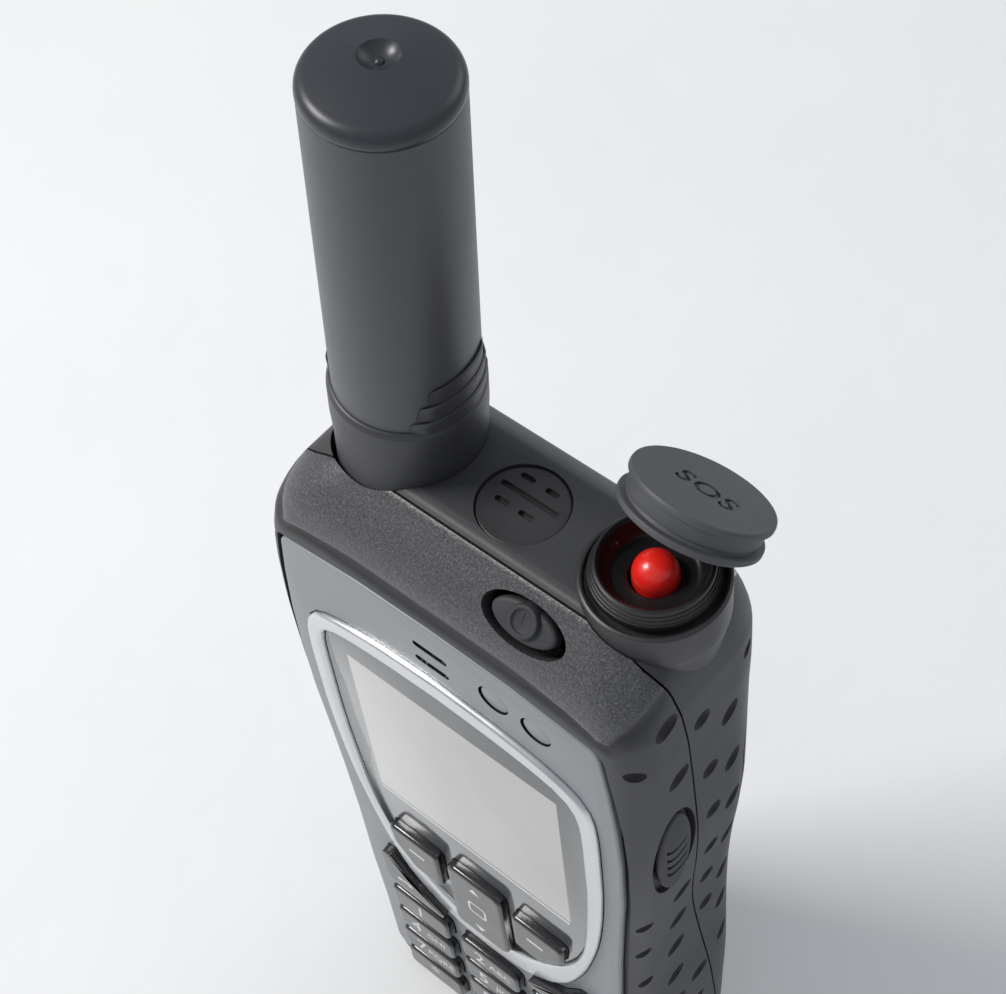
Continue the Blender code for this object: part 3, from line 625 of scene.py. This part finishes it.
def gripTools(name, picks):
    # almond-shaped tools that press the grip pockets, one sphere each, joined
    tools = []
    for column in picks:
        length, height, tilt, places = grip["columns"][column]
        for (y, z), side in ((place, side) for place in places for side in (1, -1)):
            spot, outward, rearward = sideSpot(y, z, side)
            selectNothing()
            bpy.ops.mesh.primitive_uv_sphere_add(segments=18, ring_count=10, radius=1)
            tool = justAdded(name)
            axes = Matrix((rearward, outward, Vector((0, 0, 1)))).transposed().to_4x4()
            size = Matrix.Diagonal((length * mm, grip["depth"] * mm, height * mm, 1))
            middle = Matrix.Translation(spot + outward * grip["stand"] * mm)
            tool.matrix_world = middle @ axes @ turn(-tilt, "Y") @ size
            tools.append(tool)
    for tool in tools:
        tool.select_set(True)
    bpy.context.view_layer.objects.active = tools[0]
    bpy.ops.object.transform_apply(location=True, rotation=True, scale=True)
    bpy.ops.object.join()
    # the pockets' cut faces take this painted shade finish
    tools[0].data.materials.append(finishes["pocket"])
    return tidyMesh(tools[0])


antenna = {
    "pivot": (-13.98, 0.75, 133), "tilt": atan(0.086),
    "tube": 8.55, "tubeTop": 8.2, "collarBase": 8.98, "bore": 8.6,
    "collarTop": 18.2,
    # finger grip steps: height, radius, half angle
    "steps": ((20.4, 8.96, 51), (23, 8.86, 45), (25.6, 8.76, 36)), "hole": (9.72, 9.12),
    "dimple": (2.7, (-0.95, 0.95, 67.5)), "nub": (0.6, (-0.95, 0.95, 64.6)),  # radius, place
}
button = {"x": 22.2, "y": 0.85, "turret": 8.57, "turretTop": 141.6, "neckTop": 144.3, "room": 6.7,
        "dome": 2.72, "domeHeight": 141.95}
powerKey = {"centre": (12.6, -10.4, 136.2), "lean": 50, "long": 5.95, "short": 3.05, "recess": 3.2}
sideKey = {"y": -6.4, "z": 95.4, "long": 10.3, "short": 4.2, "floor": 28.5,
        "ribs": (95.7, 93.6, 91.7, 89.8)}
volumeKey = {"room": ((-40, -8.55, 84.05), (-27.4, -4.65, 105.95)),
        "size": ((-30.25, -8.2, 84.4), (-27.9, -5, 105.6)),
        "signs": ((-7.4, 101.3, -5.8, 101.7), (-6.8, 100.7, -6.4, 102.3), (-7.4, 88.3, -5.8, 88.7))}
grille = {"x": 4.2, "y": 0, "radius": 5.6, "top": 140.12, "seat": 139.5,
          # each slot: its place across, where it starts and where it ends
          "slots": ((1.2, 0, 8.3), (-0.9, 0.8, 2.9), (-0.9, 4.3, 6.5), (3.3, 1.2, 3.2), (3.3, 4.8, 6.7))}
plug = {"y": 0.2, "z": 122.6, "hole": 2.95, "wall": -28.1}
port = {"y": -2, "room": (18.6, 8.6, 1), "cover": (18, 8, 0.9), "depth": 2.3}
latch = {"pocket": ((-6.4, 12.15, 106.2), (6.4, 20, 114.7)),
        "size": ((-5.6, 12.4, 106.7), (5.6, 13.9, 110.9)), "hook": ((-4, 12.5, 102), (4, 13.3, 107.5)),
        "ribs": (-3.6, -1.8, 0, 1.8, 3.6)}
pack = {"grooves": (84, 88, 92, 96), "groove": 1.4, "catch": ((-4.6, 12, 101.4), (4.6, 20, 120)),
        "panel": (40, 58, 4), "panelPlace": (0, 13.5, 40), "panelDepth": 0.35}
face = {"front": -13.5, "back": -12.3, "ringFront": -14.4, "slots": (117.7, 120.85),
        "lenses": ((9.2, 120.3), (15.6, 119.8)), "lens": 2.3, "voice": (4.9, 0.55)}
faceHalf = (
    [(0, 3.6)] + filleted([(0, 3.6), (24.1, 4, 5), (24.3, 23)], 6)[1:-1]
    + [(24.3, 23), (24.9, 37), (25, 53), (25.5, 66), (26.1, 76), (26.9, 87), (27.1, 98), (26.8, 107), (26, 116)]
    + filleted([(26, 116), (24.9, 124.2, 1.6), (12, 125.9)], 4)[1:-1] + [(12, 125.9), (0, 126.2)])


def antennaMatrix():
    return shift(*antenna["pivot"]) @ Matrix.Rotation(antenna["tilt"], 4, "Y")


def powerMatrix():
    # carries a plate in X and Z on to the sloping front of the roll
    return shift(*powerKey["centre"]) @ turn(powerKey["lean"] - 90, "X")


def rightWallMatrix():
    # carries a plate in X and Z on to the right wall, its front facing +X
    return shift(0, sideKey["y"], 0) @ turn(90, "Z")


def leftWallMatrix(x):
    # stands a turned piece out of the left wall
    return shift(x, plug["y"], plug["z"]) @ turn(-90, "Y")


def portMatrix():
    return shift(0, port["y"], 0) @ turn(-90, "X")


def antennaHole():
    obj = turned("hole", [(1, 108.5), (1, 150)], 64)
    obj.scale = (*antenna["hole"], 1)
    obj.location = (antenna["pivot"][0] * mm, antenna["pivot"][1] * mm, 0)
    return settle(obj)


def standingRoom(name, piece, radius, low, sides=64):
    # an upright round room open to the top, centred on a piece
    room = turned(name, [(radius, low), (radius, 150)], sides)
    return placeBy(room, shift(piece["x"], piece["y"], 0))


def cutPort(shell):
    room = plate("port", roundedBox(0, 0, *port["room"]), -port["depth"], 5)
    cutBy(shell, placeBy(room, portMatrix()))


def makeCasing():
    shell = wrapCasing("casingFront", casing)
    cutBy(shell, wrapCasing("hollow", casing["hollow"], casing["wall"], False))
    heights = np.linspace(-2.5, 141.5, 90)
    seam = sideBlade("seam", list(zip(partingDepth(heights), heights)), casing["partingGap"])
    edge = np.array(casing["packEdge"], float)
    levels = np.linspace(-2.5, edge[-1, 1], 60)
    packLine = list(zip(smoothThrough(edge[:, 1], edge[:, 0], levels), levels)) + casing["packTop"][1:]
    cutBy(shell, seam, sideBlade("packEdge", packLine, casing["packGap"]))
    selectOnly(shell)
    toEditMode()
    bpy.ops.mesh.separate(type="LOOSE")
    toObjectMode()
    parts = sorted(bpy.context.selected_objects, key=lambda o: len(o.data.vertices), reverse=True)[:3]
    for extra in set(bpy.context.selected_objects) - set(parts):
        bpy.data.objects.remove(extra, do_unlink=True)
    parts.sort(key=lambda o: min(v.co.y for v in o.data.vertices))
    for obj, name in zip(parts, ("casingFront", "casingRear", "batteryPack")):
        obj.name = obj.data.name = name
    print("casing wrapped and parted:", [len(p.data.polygons) for p in parts])
    return parts


def cutFront(shell):
    sideOval = [(y, z + sideKey["z"]) for y, z in oval(0, 0, sideKey["short"], sideKey["long"])]
    power = plate("power", oval(0, 0, powerKey["long"], powerKey["short"]), -6, powerKey["recess"])
    cutBy(shell, plate("recess", moved(bothSides(faceHalf), 0.8), -20, face["back"] + 0.05),
            antennaHole(), placeBy(power, powerMatrix()),
            placeBy(plate("side", sideOval, -40, -sideKey["floor"]), rightWallMatrix()),
            rounded(box("volume", *volumeKey["room"]), 1.2, 4),
            standingRoom("turretRoom", button, button["turret"] + 0.12, 128))
    cutBy(shell, gripTools("gripFront", ("corner", "front")))
    cutPort(shell)


def cutRear(shell):
    socket = turned("plugHole", [(plug["hole"], -2.2), (plug["hole"], 8)], 40)
    cutBy(shell, standingRoom("seat", grille, grille["radius"] + 0.04, grille["seat"]), antennaHole(),
          standingRoom("turretRoom", button, button["room"], 126, 48),
          placeBy(socket, leftWallMatrix(plug["wall"] + 0.1)), box("latchPocket", *latch["pocket"]))
    cutBy(shell, gripTools("gripRear", ("seam", "middle", "rear")))
    cutPort(shell)


def cutPack(shell):
    cutBy(shell, gripTools("gripPack", ("pack",)))
    grooves = [rounded(box("groove", (-17, 12.9, z), (17, 20, z + pack["groove"])), 0.5, 3)
            for z in pack["grooves"]]
    panel = plate("panel", roundedBox(0, 0, *pack["panel"]), -3, pack["panelDepth"])
    placeBy(panel, shift(*pack["panelPlace"]) @ turn(180, "Z"))
    cutBy(shell, *grooves, box("catch", *pack["catch"]), panel)


def markSparkAndShade(obj, whole):
    places = np.zeros(len(obj.data.vertices) * 3)
    obj.data.vertices.foreach_get("co", places)
    x, y, z = places.reshape(-1, 3).T / mm
    over = aboveCrease(x, y, z) if whole else np.full(len(x), -9)
    # valley: a painted shade mask, strongest just below the crease at the front, where the groove faces down
    valley = np.exp(-(((over + 0.9) / 0.95) ** 2)) * easeStep(-9.0, -12.6, y)
    for name, values in (("spark", easeStep(-0.15, 0.15, over)), ("valley", valley)):
        layer = obj.data.attributes.new(name, "FLOAT", "POINT")
        layer.data.foreach_set("value", values.astype(np.float32))


for shell, cut, node in zip(makeCasing(), (cutFront, cutRear, cutPack),
        ("front_housing", "rear_housing", "battery_pack")):
    cut(shell)
    markSparkAndShade(shell, node == "front_housing")
    smoothed(shell, 30)
    dress(shell, None, "telephone", node)
print("casing cut and dressed")


ringHalf = [(0, 38), (5, 38.6), (9.5, 40.5), (13.5, 43.9), (16.5, 48.4), (18.7, 54), (20.7, 61.5),
        (22.4, 70), (23.5, 80), (23.95, 89), (24, 99), (23.8, 104.5), (23, 108.4), (20.8, 111.1),
        (16, 113), (8, 114.3), (0, 114.8)]
ringInner = [(0, 43.5), (4, 43.8), (8.2, 45.4), (12.2, 48.8), (14.6, 51.8), (16.6, 55.4), (18.5, 60.4),
        (19.8, 66), (20.8, 75.5), (21.35, 83), (21.5, 89), (21.5, 99), (21.3, 104), (20.5, 107.2),
        (17.9, 109.4), (8, 111), (0, 111.4)]


def fineOutline(half, count=44):
    # more points through a coarse half outline, so that it bends smoothly
    points = np.array(half, float)
    reach = np.concatenate([[0], np.cumsum(np.hypot(*np.diff(points, axis=0).T))])
    where = np.linspace(0, reach[-1], count)
    return list(zip(*(smoothThrough(reach, column, where).tolist() for column in points.T)))


ringOuter = bothSides(fineOutline(ringHalf))
ringHole = bothSides(fineOutline(ringInner))

keys = {
    "face": -15.1, "back": -12.75, "gap": 0.16, "round": 0.55,
    "columns": (-14.1, 0, 14.1), "rowTops": (35.2, 27.5, 19.8, 12.1), "width": 11.6, "height": 6.1,
    "names": (("1", "2", "3"), ("4", "5", "6"), ("7", "8", "9"), ("star", "0", "hash")),
    "letters": {"2": "ABC", "3": "DEF", "4": "GHI", "5": "JKL", "6": "MNO", "7": "PQRS", "8": "TUV",
        "9": "WXYZ", "0": "+"},
    "signs": {"star": "*", "hash": "#"}, "ink": 0.03,
    "soft": [(6.9, 50.6, 0.9), (12.3, 50.6, 1.2), (15.9, 55.4, 1.2), (16.4, 60.2, 1.1), (6.9, 60.2, 0.9)],
    "end": [(8.3, 37.6, 1), (19.9, 37.6, 1), (19.9, 47.2, 0.9), (18, 47.2, 0.5), (14.7, 42.9, 4),
        (8.3, 38.9, 0.5)],
}


def mirrored(corners):
    return [(-corner[0], *corner[1:]) for corner in reversed(corners)]


def keyOutlines():
    # each key's outline and the panel it comes through
    shapes = {"soft_left": (filleted(mirrored(keys["soft"]), 3), "window"),
            "soft_right": (filleted(keys["soft"], 3), "window"),
            "navigation": (roundedBox(0, 52.2, 10.2, 18.2, 1.6), "window"),
            "call": (filleted(mirrored(keys["end"]), 3), "face"),
            "end": (filleted(keys["end"], 3), "face")}
    for names, top in zip(keys["names"], keys["rowTops"]):
        for label, x in zip(names, keys["columns"]):
            outline = roundedBox(x, top - keys["height"] / 2, keys["width"], keys["height"], 1.3)
            shapes[label] = (outline, "face")
    return shapes


def through(name, outline):
    # a cutter that goes right through the face
    return plate(name, outline, -20, 0)


def cutKeyRooms(panel, shapes, panelName, finish, *others):
    rooms = list(others) + [through("keyRoom", moved(outline, keys["gap"]))
            for outline, where in shapes.values() if where == panelName]
    # every room's walls in the panel take the near-black finish: painted shade between the panel and its keys
    rooms[0].data.materials.append(finishes["well"])
    panel.data.materials.append(finishes[finish])
    return smoothed(cutBy(panel, *rooms), 30)


def makeFace(shapes):
    panel = rounded(plate("facePanel", bothSides(faceHalf), face["front"], face["back"]), 0.36, 3)
    lens, (voiceHeight, voice) = face["lens"], face["voice"]
    cutKeyRooms(panel, shapes, "face", "faceplate", through("ringRoom", moved(ringOuter, 0.12)),
            *(through("earSlot", roundedBox(-0.8, z, 5.4, 1.05, 0.5)) for z in face["slots"]),
            *(through("lensRoom", oval(x - 0.13, z - 0.13, lens, lens, 40)) for x, z in face["lenses"]),
            through("voiceHole", oval(0, voiceHeight, voice, voice, 20)))
    dress(panel, None, "telephone", "faceplate")
    for node, (x, z) in zip(("status_lens", "light_sensor_lens"), face["lenses"]):
        disc = plate(node + "Look", oval(x, z, lens - 0.15, lens - 0.15, 40), face["front"] + 0.12,
                face["back"])
        dress(smoothed(rounded(disc, 0.25, 2)), "faceplate", "telephone", node)
    print("faceplate done")


def makeRing():
    ring = plate("ringLook", ringOuter, face["ringFront"], face["back"])
    cutBy(ring, through("ringHole", ringHole))
    dress(smoothed(rounded(ring, 0.75, 5), 40), "trim", "telephone", "trim_ring")


display = {"half": 17.4, "low": 69.4, "high": 104.1, "soft": 0.12, "rule": (68.5, 68.9),
        "active": ((0.44, 0.44, 0.42), (0.50, 0.50, 0.48)),
        "border": ((0.075, 0.08, 0.088), (0.11, 0.115, 0.122))}
finishes["display"] = displayFinish("display under gloss", display)


def makeWindow(shapes):
    window = plate("windowLook", moved(ringHole, -0.1), face["front"] - 0.05, face["back"])
    cutKeyRooms(rounded(window, 0.15, 2), shapes, "window", "display")
    dress(window, None, "telephone", "display_window")
    low, high = display["rule"]
    line = box("displayRule", (-17.2, face["front"] - 0.09, low), (17.2, face["front"] + 0.3, high))
    dress(rounded(line, 0.03, 2), "legend", "telephone")


def lettering(text, place, lean, size, depth, spacing=1.0, detail=4, fatten=0.0):
    # text as a solid, centred on its place
    selectNothing()
    bpy.ops.object.text_add(location=[p * mm for p in place], rotation=(radians(lean), 0, 0))
    letters = bpy.context.object.data
    letters.body = text
    letters.align_x = letters.align_y = "CENTER"
    letters.size, letters.extrude, letters.offset = size * mm, depth * mm, fatten * mm
    letters.space_character = spacing
    letters.resolution_u = detail
    bpy.ops.object.convert(target="MESH")
    return tidyMesh(settle(bpy.context.object), 0.0005)


def sign(outline, x=0.0, z=0.0):
    # a small flat sign on the key tops
    top = keys["face"] + 0.02
    return plate("sign", [(x + px, z + pz) for px, pz in outline], top - keys["ink"], top + keys["ink"])


def legendsFor(label):
    side = -1 if label in ("soft_left", "call") else 1
    if label == "navigation":
        arrow = [(-1, 0.55), (0, -0.75), (1, 0.55)]
        middle = sign(roundedBox(0, 52.2, 3.4, 3.4, 0.7))
        cutBy(middle, through("signHole", roundedBox(0, 52.2, 2.7, 2.7, 0.5)))
        return [sign(arrow, 0, 46), sign([(-px, -pz) for px, pz in arrow], 0, 58.4), middle]
    if label in ("soft_left", "soft_right"):
        return [sign(roundedBox(side * 11.2, 56.2, 3, 0.55, 0.2))]
    if label in ("call", "end"):
        handset = filleted([(1.5, -0.45, 0.2), (1.5, 0.45, 0.5), (-1.5, 0.45, 0.5), (-1.5, -0.45, 0.2),
                (-0.8, -0.45, 0.15), (-0.7, 0, 0.1), (0.7, 0, 0.1), (0.8, -0.45, 0.15)], 2)
        return [sign(handset, side * 16, 40.6)]
    row = next(row for row, names in enumerate(keys["names"]) if label in names)
    x = keys["columns"][keys["names"][row].index(label)]
    z = keys["rowTops"][row] - keys["height"] / 2
    top, letters = keys["face"] + 0.02, keys["letters"].get(label)
    text = keys["signs"].get(label, label)
    marks = [lettering(text, (x - (1.9 if letters else 0), top, z), 90, 4.4, keys["ink"])]
    if letters:
        marks.append(lettering(letters, (x + 2.2, top, z - 0.1), 90, 2.3, keys["ink"]))
    return marks


def makeKeys(shapes):
    for label, (outline, _) in shapes.items():
        key = plate("keyLook_" + label, outline, keys["face"], keys["back"])
        selectOnly(key)
        toEditMode("DESELECT")
        bpy.ops.mesh.select_mode(type="FACE")
        toObjectMode()
        for polygon in key.data.polygons:
            polygon.select = polygon.normal.y < -0.9
        bpy.ops.object.mode_set(mode="EDIT")
        bpy.ops.mesh.inset(thickness=0.9 * mm, depth=0)
        toObjectMode()
        smoothed(rounded(key, keys["round"], 4), 40)
        key.data.materials.append(finishes["key"])
        marks = legendsFor(label)
        for mark in marks:
            mark.data.materials.clear()
            mark.data.materials.append(finishes["legend"])
        dress(joinInto(key, marks), None, f"key_{label}_cap", f"key_{label}")
    print("keys done:", len(shapes))


shapes = keyOutlines()
makeFace(shapes)
makeRing()
makeWindow(shapes)
makeKeys(shapes)


def makeAntenna():
    place = antennaMatrix()
    tube, tubeTop, bore = antenna["tube"], antenna["tubeTop"], antenna["bore"]
    collarTop, collarBase = antenna["collarTop"], antenna["collarBase"]
    mast = turned("tubeLook", filleted([(7.3, 62.9), (tubeTop - 0.02, 62.9, 0.15), (tube, collarTop),
            (tube, 2, 0.4), (7.3, 2)]), 96, True)
    dress(smoothed(placeBy(mast, place)), "tube", "antenna_mast", "antenna_tube")
    top = turned("antennaTopLook", filleted([(0, 66), (3, 65.85), (tubeTop, 64.75, 1.5),
            (tubeTop + 0.02, 63), (7, 63), (7, 60.5), (0, 60.5)], 8), 96)
    cutBy(rounded(top, 0.05, 1, 80), ball("dimple", *antenna["dimple"], 48))
    joinInto(top, [ball("nub", *antenna["nub"], 24)])
    dress(smoothed(placeBy(top, place), 50), "antennaTop", "antenna_mast", "antenna_cap")
    profile = filleted([(bore, collarTop + 0.1), (8.85, collarTop, 0.1), (9.12, 17.5, 0.3), (9.16, 13.5),
            (collarBase, 9), (collarBase, -2.4, 0.3), (bore, -2.4)])
    collar = joinInto(turned("collarLook", profile, 120, True),
            [gripStep(*step) for step in antenna["steps"]])
    dress(smoothed(placeBy(collar, place), 40), "collar", "antenna_base",
          "antenna_collar", "antenna_pivot_front", "antenna_pivot_rear")
    print("antenna done")


def gripStep(height, radius, halfAngle):
    # one shingle of the finger grip: a thin sleeve that stands up only at the mast's two sides
    bore = antenna["bore"]
    low = antenna["collarTop"] - 1.0
    sleeve = turned("gripStep", [(bore, height), (radius, height), (radius + 0.12, height - 0.35),
            (radius + 0.02, height - 1.1), (radius, low), (bore, low)], 144, True)
    for vert in sleeve.data.vertices:
        x, y, z = vert.co / mm
        away = abs(degrees(atan2(y, abs(x))) - 4)
        keep = 1 - float(easeStep(halfAngle - 14, halfAngle - 2, away))
        tall = 1 - float(easeStep(halfAngle - 3, halfAngle + 3, away))
        reach = hypot(x, y)
        wanted = bore + 0.02 + (reach - bore - 0.02) * keep if reach > bore + 0.01 else reach
        droop = 0.55 * (away / halfAngle) ** 2 * tall
        z = low + (z - low) * tall - (droop if z > low else 0)
        vert.co = Vector((x * wanted / reach, y * wanted / reach, z)) * mm
    return sleeve


makeAntenna()


cap = {"radius": 8.62, "top": 146.2, "hinge": (23.1, 9.35, 136.1), "turn": radians(5.9),
       "open": radians(37.7), "strap": (2.4, 8.5, 135.2, 10.2, 142.2), "notch": 3.2,
       "letters": {"size": 4.1, "spacing": 1.12, "fatten": 0.09, "depth": 0.22}}


def capMatrix():
    axis = Vector((cos(cap["turn"]), -sin(cap["turn"]), 0))
    there = shift(*cap["hinge"])
    return there @ Matrix.Rotation(-cap["open"], 4, axis) @ there.inverted()


def makeButton():
    centre = shift(button["x"], button["y"], 0)
    wide, rim, top = button["turret"], button["turretTop"], button["neckTop"]
    turretProfile = filleted([(6.65, rim - 0.75), (7.7, rim - 0.75), (7.9, rim - 0.1, 0.12),
            (8.2, rim, 0.1), (wide, rim - 0.2, 0.25), (wide - 0.02, 136.4, 1.5), (7.4, 130), (6.65, 130)])
    turret = placeBy(turned("turretLook", turretProfile, 96, True), centre)
    middle = cap["hinge"][0]
    cutBy(turret, box("strapNotch", (middle - cap["notch"], 8, 134), (middle + cap["notch"], 20, 150)))
    dress(smoothed(turret, 40), "grille", "telephone")
    neckProfile = filleted([(6, top - 0.35, 0.15), (6.35, top, 0.15), (6.72, top - 0.12, 0.1),
            (6.8, top - 0.75), (6.95, top - 0.8), (7, top - 1.2), (7.15, top - 1.25), (7.2, top - 1.7),
            (7.35, top - 1.75), (7.4, 141.75, 0.1), (6.3, 141.7), (6.3, 134.2), (2.95, 134.2),
            (2.95, 141.55, 0.25), (5, 141.6, 0.9), (5.75, 142.9)])
    neck = turned("neckLook", neckProfile, 96, True)
    dress(smoothed(placeBy(neck, centre), 35), "well", "telephone", "sos_neck")
    radius, height = button["dome"], button["domeHeight"]
    angles = [radians(90 - 7.5 * step) for step in range(13)]
    dome = [(radius * cos(t), height + radius * sin(t)) for t in angles]
    knob = turned("buttonLook", dome + [(radius, 137), (2.5, 135.6), (0, 135.6)], 72)
    placeBy(knob, centre @ shift(0.12, 0.1, 0))
    dress(smoothed(knob, 60), "red", "distress_button", "sos_button")
    makeCap(centre)
    print("distress button done")


def makeCap(centre):
    r, t = cap["radius"], cap["top"]
    capProfile = filleted([(0, t + 0.05), (r - 0.12, t, 0.2), (r, t - 0.4, 0.2), (r, t - 0.85, 0.2),
            (r - 0.45, t - 1, 0.1), (r - 0.6, t - 2.75, 0.2), (r - 1.2, t - 2.95, 0.1),
            (r - 1.2, t - 3.25, 0.1), (r + 0.05, t - 3.35, 0.15), (r + 0.08, t - 4, 0.2),
            (r - 0.2, t - 4.25, 0.1), (7.85, t - 4.2, 0.1), (7.8, t - 3), (7.2, t - 1.8, 0.4),
            (5, t - 1.25), (0, t - 1.2)])
    lid = placeBy(turned("capLook", capProfile, 96), centre)
    style = cap["letters"]
    place = (button["x"] + 0.25, button["y"] - 0.1, t + style["depth"])
    cutBy(lid, lettering("SOS", place, 0, style["size"], 0.5, style["spacing"], 5, style["fatten"]))
    dress(smoothed(placeBy(lid, capMatrix()), 35), "cap", "distress_cap", "sos_cap")
    half, front, low, back, high = cap["strap"]
    middle = cap["hinge"][0]
    strap = rounded(box("strapLook", (middle - half, front, low), (middle + half, back, high)), 0.6, 4)
    dress(smoothed(placeBy(strap, capMatrix()), 40), "cap", "distress_cap", "cap_strap")


makeButton()


def makePowerKey():
    body = plate("powerKeyLook", oval(-0.15, 0.15, powerKey["long"] - 1.35, powerKey["short"] - 0.8),
            -0.1, 2)
    rounded(body, 0.55, 4)
    boss = turned("boss", filleted([(0, 0.35), (1.35, 0.42, 0.3), (1.5, 0.75, 0.1), (1.95, 0.75, 0.15),
            (2.1, 0.1), (2.1, -1), (0, -1)]), 48)
    cutBy(placeBy(boss, turn(90, "X")), plate("mark", roundedBox(0, 0.25, 0.45, 1.4, 0.2), -0.85, -0.3))
    joinInto(body, [placeBy(boss, shift(0, 0, 0.55))])
    dress(smoothed(placeBy(body, powerMatrix()), 40), "rubber", "power_button", "power_key")


def makeSideKeys():
    outline = [(y, z + sideKey["z"]) for y, z in oval(0.1, -0.1, sideKey["short"] - 0.95,
            sideKey["long"] - 1.3)]
    key = rounded(plate("sideKeyLook", outline, -30, -29.05), 0.45, 4)
    ribs = []
    for z in sideKey["ribs"]:
        arc = [(0.8 + 2.7 * sin(t), z + 2.6 - 2.7 * cos(t)) for t in np.linspace(-1.25, 0.55, 10)]
        ribs.append(plate("rib", arc + [(y + 0.2, h + 0.5) for y, h in reversed(arc)], -31, -29.5))
    placeBy(cutBy(key, *ribs), rightWallMatrix())
    dress(smoothed(key, 40), "rubber", "side_button", "side_key")
    rocker = rounded(box("volumeKeyLook", *volumeKey["size"]), 0.8, 4)
    for front, low, back, high in volumeKey["signs"]:
        cutBy(rocker, box("sign", (-31, front, low), (-30.05, back, high)))
    dress(smoothed(rocker, 40), "rubber", "volume_button", "volume_key")
    bung = turned("plugLook", filleted([(0, 2.6), (1.5, 2.6, 0.5), (1.8, 2, 0.3), (2.55, 1.6, 0.5),
            (2.7, 0.6), (2.7, -1.4), (0, -1.4)]), 40)
    placeBy(bung, leftWallMatrix(plug["wall"]))
    dress(smoothed(bung, 40), "rubber", "port_plug", "antenna_port_plug")


def makeGrille():
    r, top, seat = grille["radius"], grille["top"], grille["seat"]
    disc = turned("grilleLook", filleted([(0, top), (r - 0.25, top, 0.2), (r, 139.9, 0.1), (r, seat),
            (0, seat)]), 72)
    placeBy(disc, shift(grille["x"], grille["y"], 0))
    slots = [plate("slot", roundedBox((low + high) / 2, across, high - low, 0.75, 0.35), -150, -139)
            for across, low, high in grille["slots"]]
    cutBy(disc, *(placeBy(slot, turn(-90, "X")) for slot in slots))
    dress(smoothed(disc, 35), "grille", "telephone", "speaker_grille")


def makeLatch():
    catch = rounded(box("latchLook", *latch["size"]), 0.5, 3)
    cutBy(catch, *(box("rib", (x - 0.25, 13.6, 107.4), (x + 0.25, 15, 110.2)) for x in latch["ribs"]))
    joinInto(catch, [box("hook", *latch["hook"])])
    dress(smoothed(catch, 40), "rubber", "latch", "battery_latch")
    cover = rounded(plate("portCoverLook", roundedBox(0, 0, *port["cover"]), -1.7, -0.05), 0.3, 3)
    placeBy(cover, portMatrix())
    dress(smoothed(cover, 40), "rubber", "port_flap", "port_cover")


makePowerKey()
makeSideKeys()
makeGrille()
makeLatch()
print("small controls done")


innerFinishes = {
    "board": ["main_board"], "ceramic": ["gps_patch_antenna"], "legend": ["display_panel"],
    "rubber": ["keypad_mat"], "gold": ["antenna_helix_core", "battery_contact_1", "battery_contact_2"],
    "inner": ["loudspeaker", "earpiece", "data_connector", "sos_switch"],
    "steel": ["radio_shield", "microphone", "sim_holder", "cap_hinge_pin", "case_screw_1", "case_screw_2",
              "case_screw_3", "case_screw_4"],
}
for finish, nodes in innerFinishes.items():
    for node in nodes:
        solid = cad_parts[node]
        solid.data.materials.clear()
        solid.data.materials.append(finishes[finish])


stage = {
    "floor": (0.84, 0.845, 0.85), "floorSize": 6, "sky": (0.92, 0.95, 1), "skyStrength": 0.46,
    "aim": (0, 0, 0.1),
    # each lamp: name, place in metres, size, power, colour
    "lamps": (("key light", (-0.58, -0.40, 0.86), 0.34, 8.5, (1, 0.985, 0.96)),
        ("back light", (0.25, 0.85, 0.65), 0.6, 1.5, (0.95, 0.97, 1))),
    # the camera's place in metres, its directions and its lens
    "place": (0.10035, -0.09385, 0.32690), "rightward": (0.75964, 0.64554, -0.07889),
    "upward": (-0.49012, 0.64799, 0.58300), "lens": 73.36, "sensor": 36,
}


def makeStage():
    selectNothing()
    bpy.ops.mesh.primitive_plane_add(size=stage["floorSize"])
    floor = justAdded("floor")
    floor.data.materials.append(mouldedFinish("pale floor", stage["floor"], 0.02, (0.7, 0.85), 9, 60,
            0.3))
    world = bpy.data.worlds.new("pale room")
    bpy.context.scene.world = world
    world.use_nodes = True
    sky = world.node_tree.nodes["Background"]
    sky.inputs["Color"].default_value = (*stage["sky"], 1)
    sky.inputs["Strength"].default_value = stage["skyStrength"]
    bpy.context.scene.view_settings.view_transform = "Standard"


def addLamp(name, place, size, power, colour):
    data = bpy.data.lights.new(name, "AREA")
    data.size, data.energy, data.color = size, power, colour
    lamp = bpy.data.objects.new(name, data)
    bpy.context.scene.collection.objects.link(lamp)
    lamp.location = place
    lamp.rotation_mode = "QUATERNION"
    lamp.rotation_quaternion = (Vector(place) - Vector(stage["aim"])).to_track_quat("Z", "Y")


def makeCamera():
    data = bpy.data.cameras.new("camera")
    data.lens, data.sensor_width, data.clip_start = stage["lens"], stage["sensor"], 0.01
    camera = bpy.data.objects.new("camera", data)
    bpy.context.scene.collection.objects.link(camera)
    rightward, upward = Vector(stage["rightward"]), Vector(stage["upward"])
    pose = Matrix((rightward, upward, rightward.cross(upward))).transposed().to_4x4()
    pose.translation = stage["place"]
    camera.matrix_world = pose
    bpy.context.scene.camera = camera


makeStage()
for lamp in stage["lamps"]:
    addLamp(*lamp)
makeCamera()
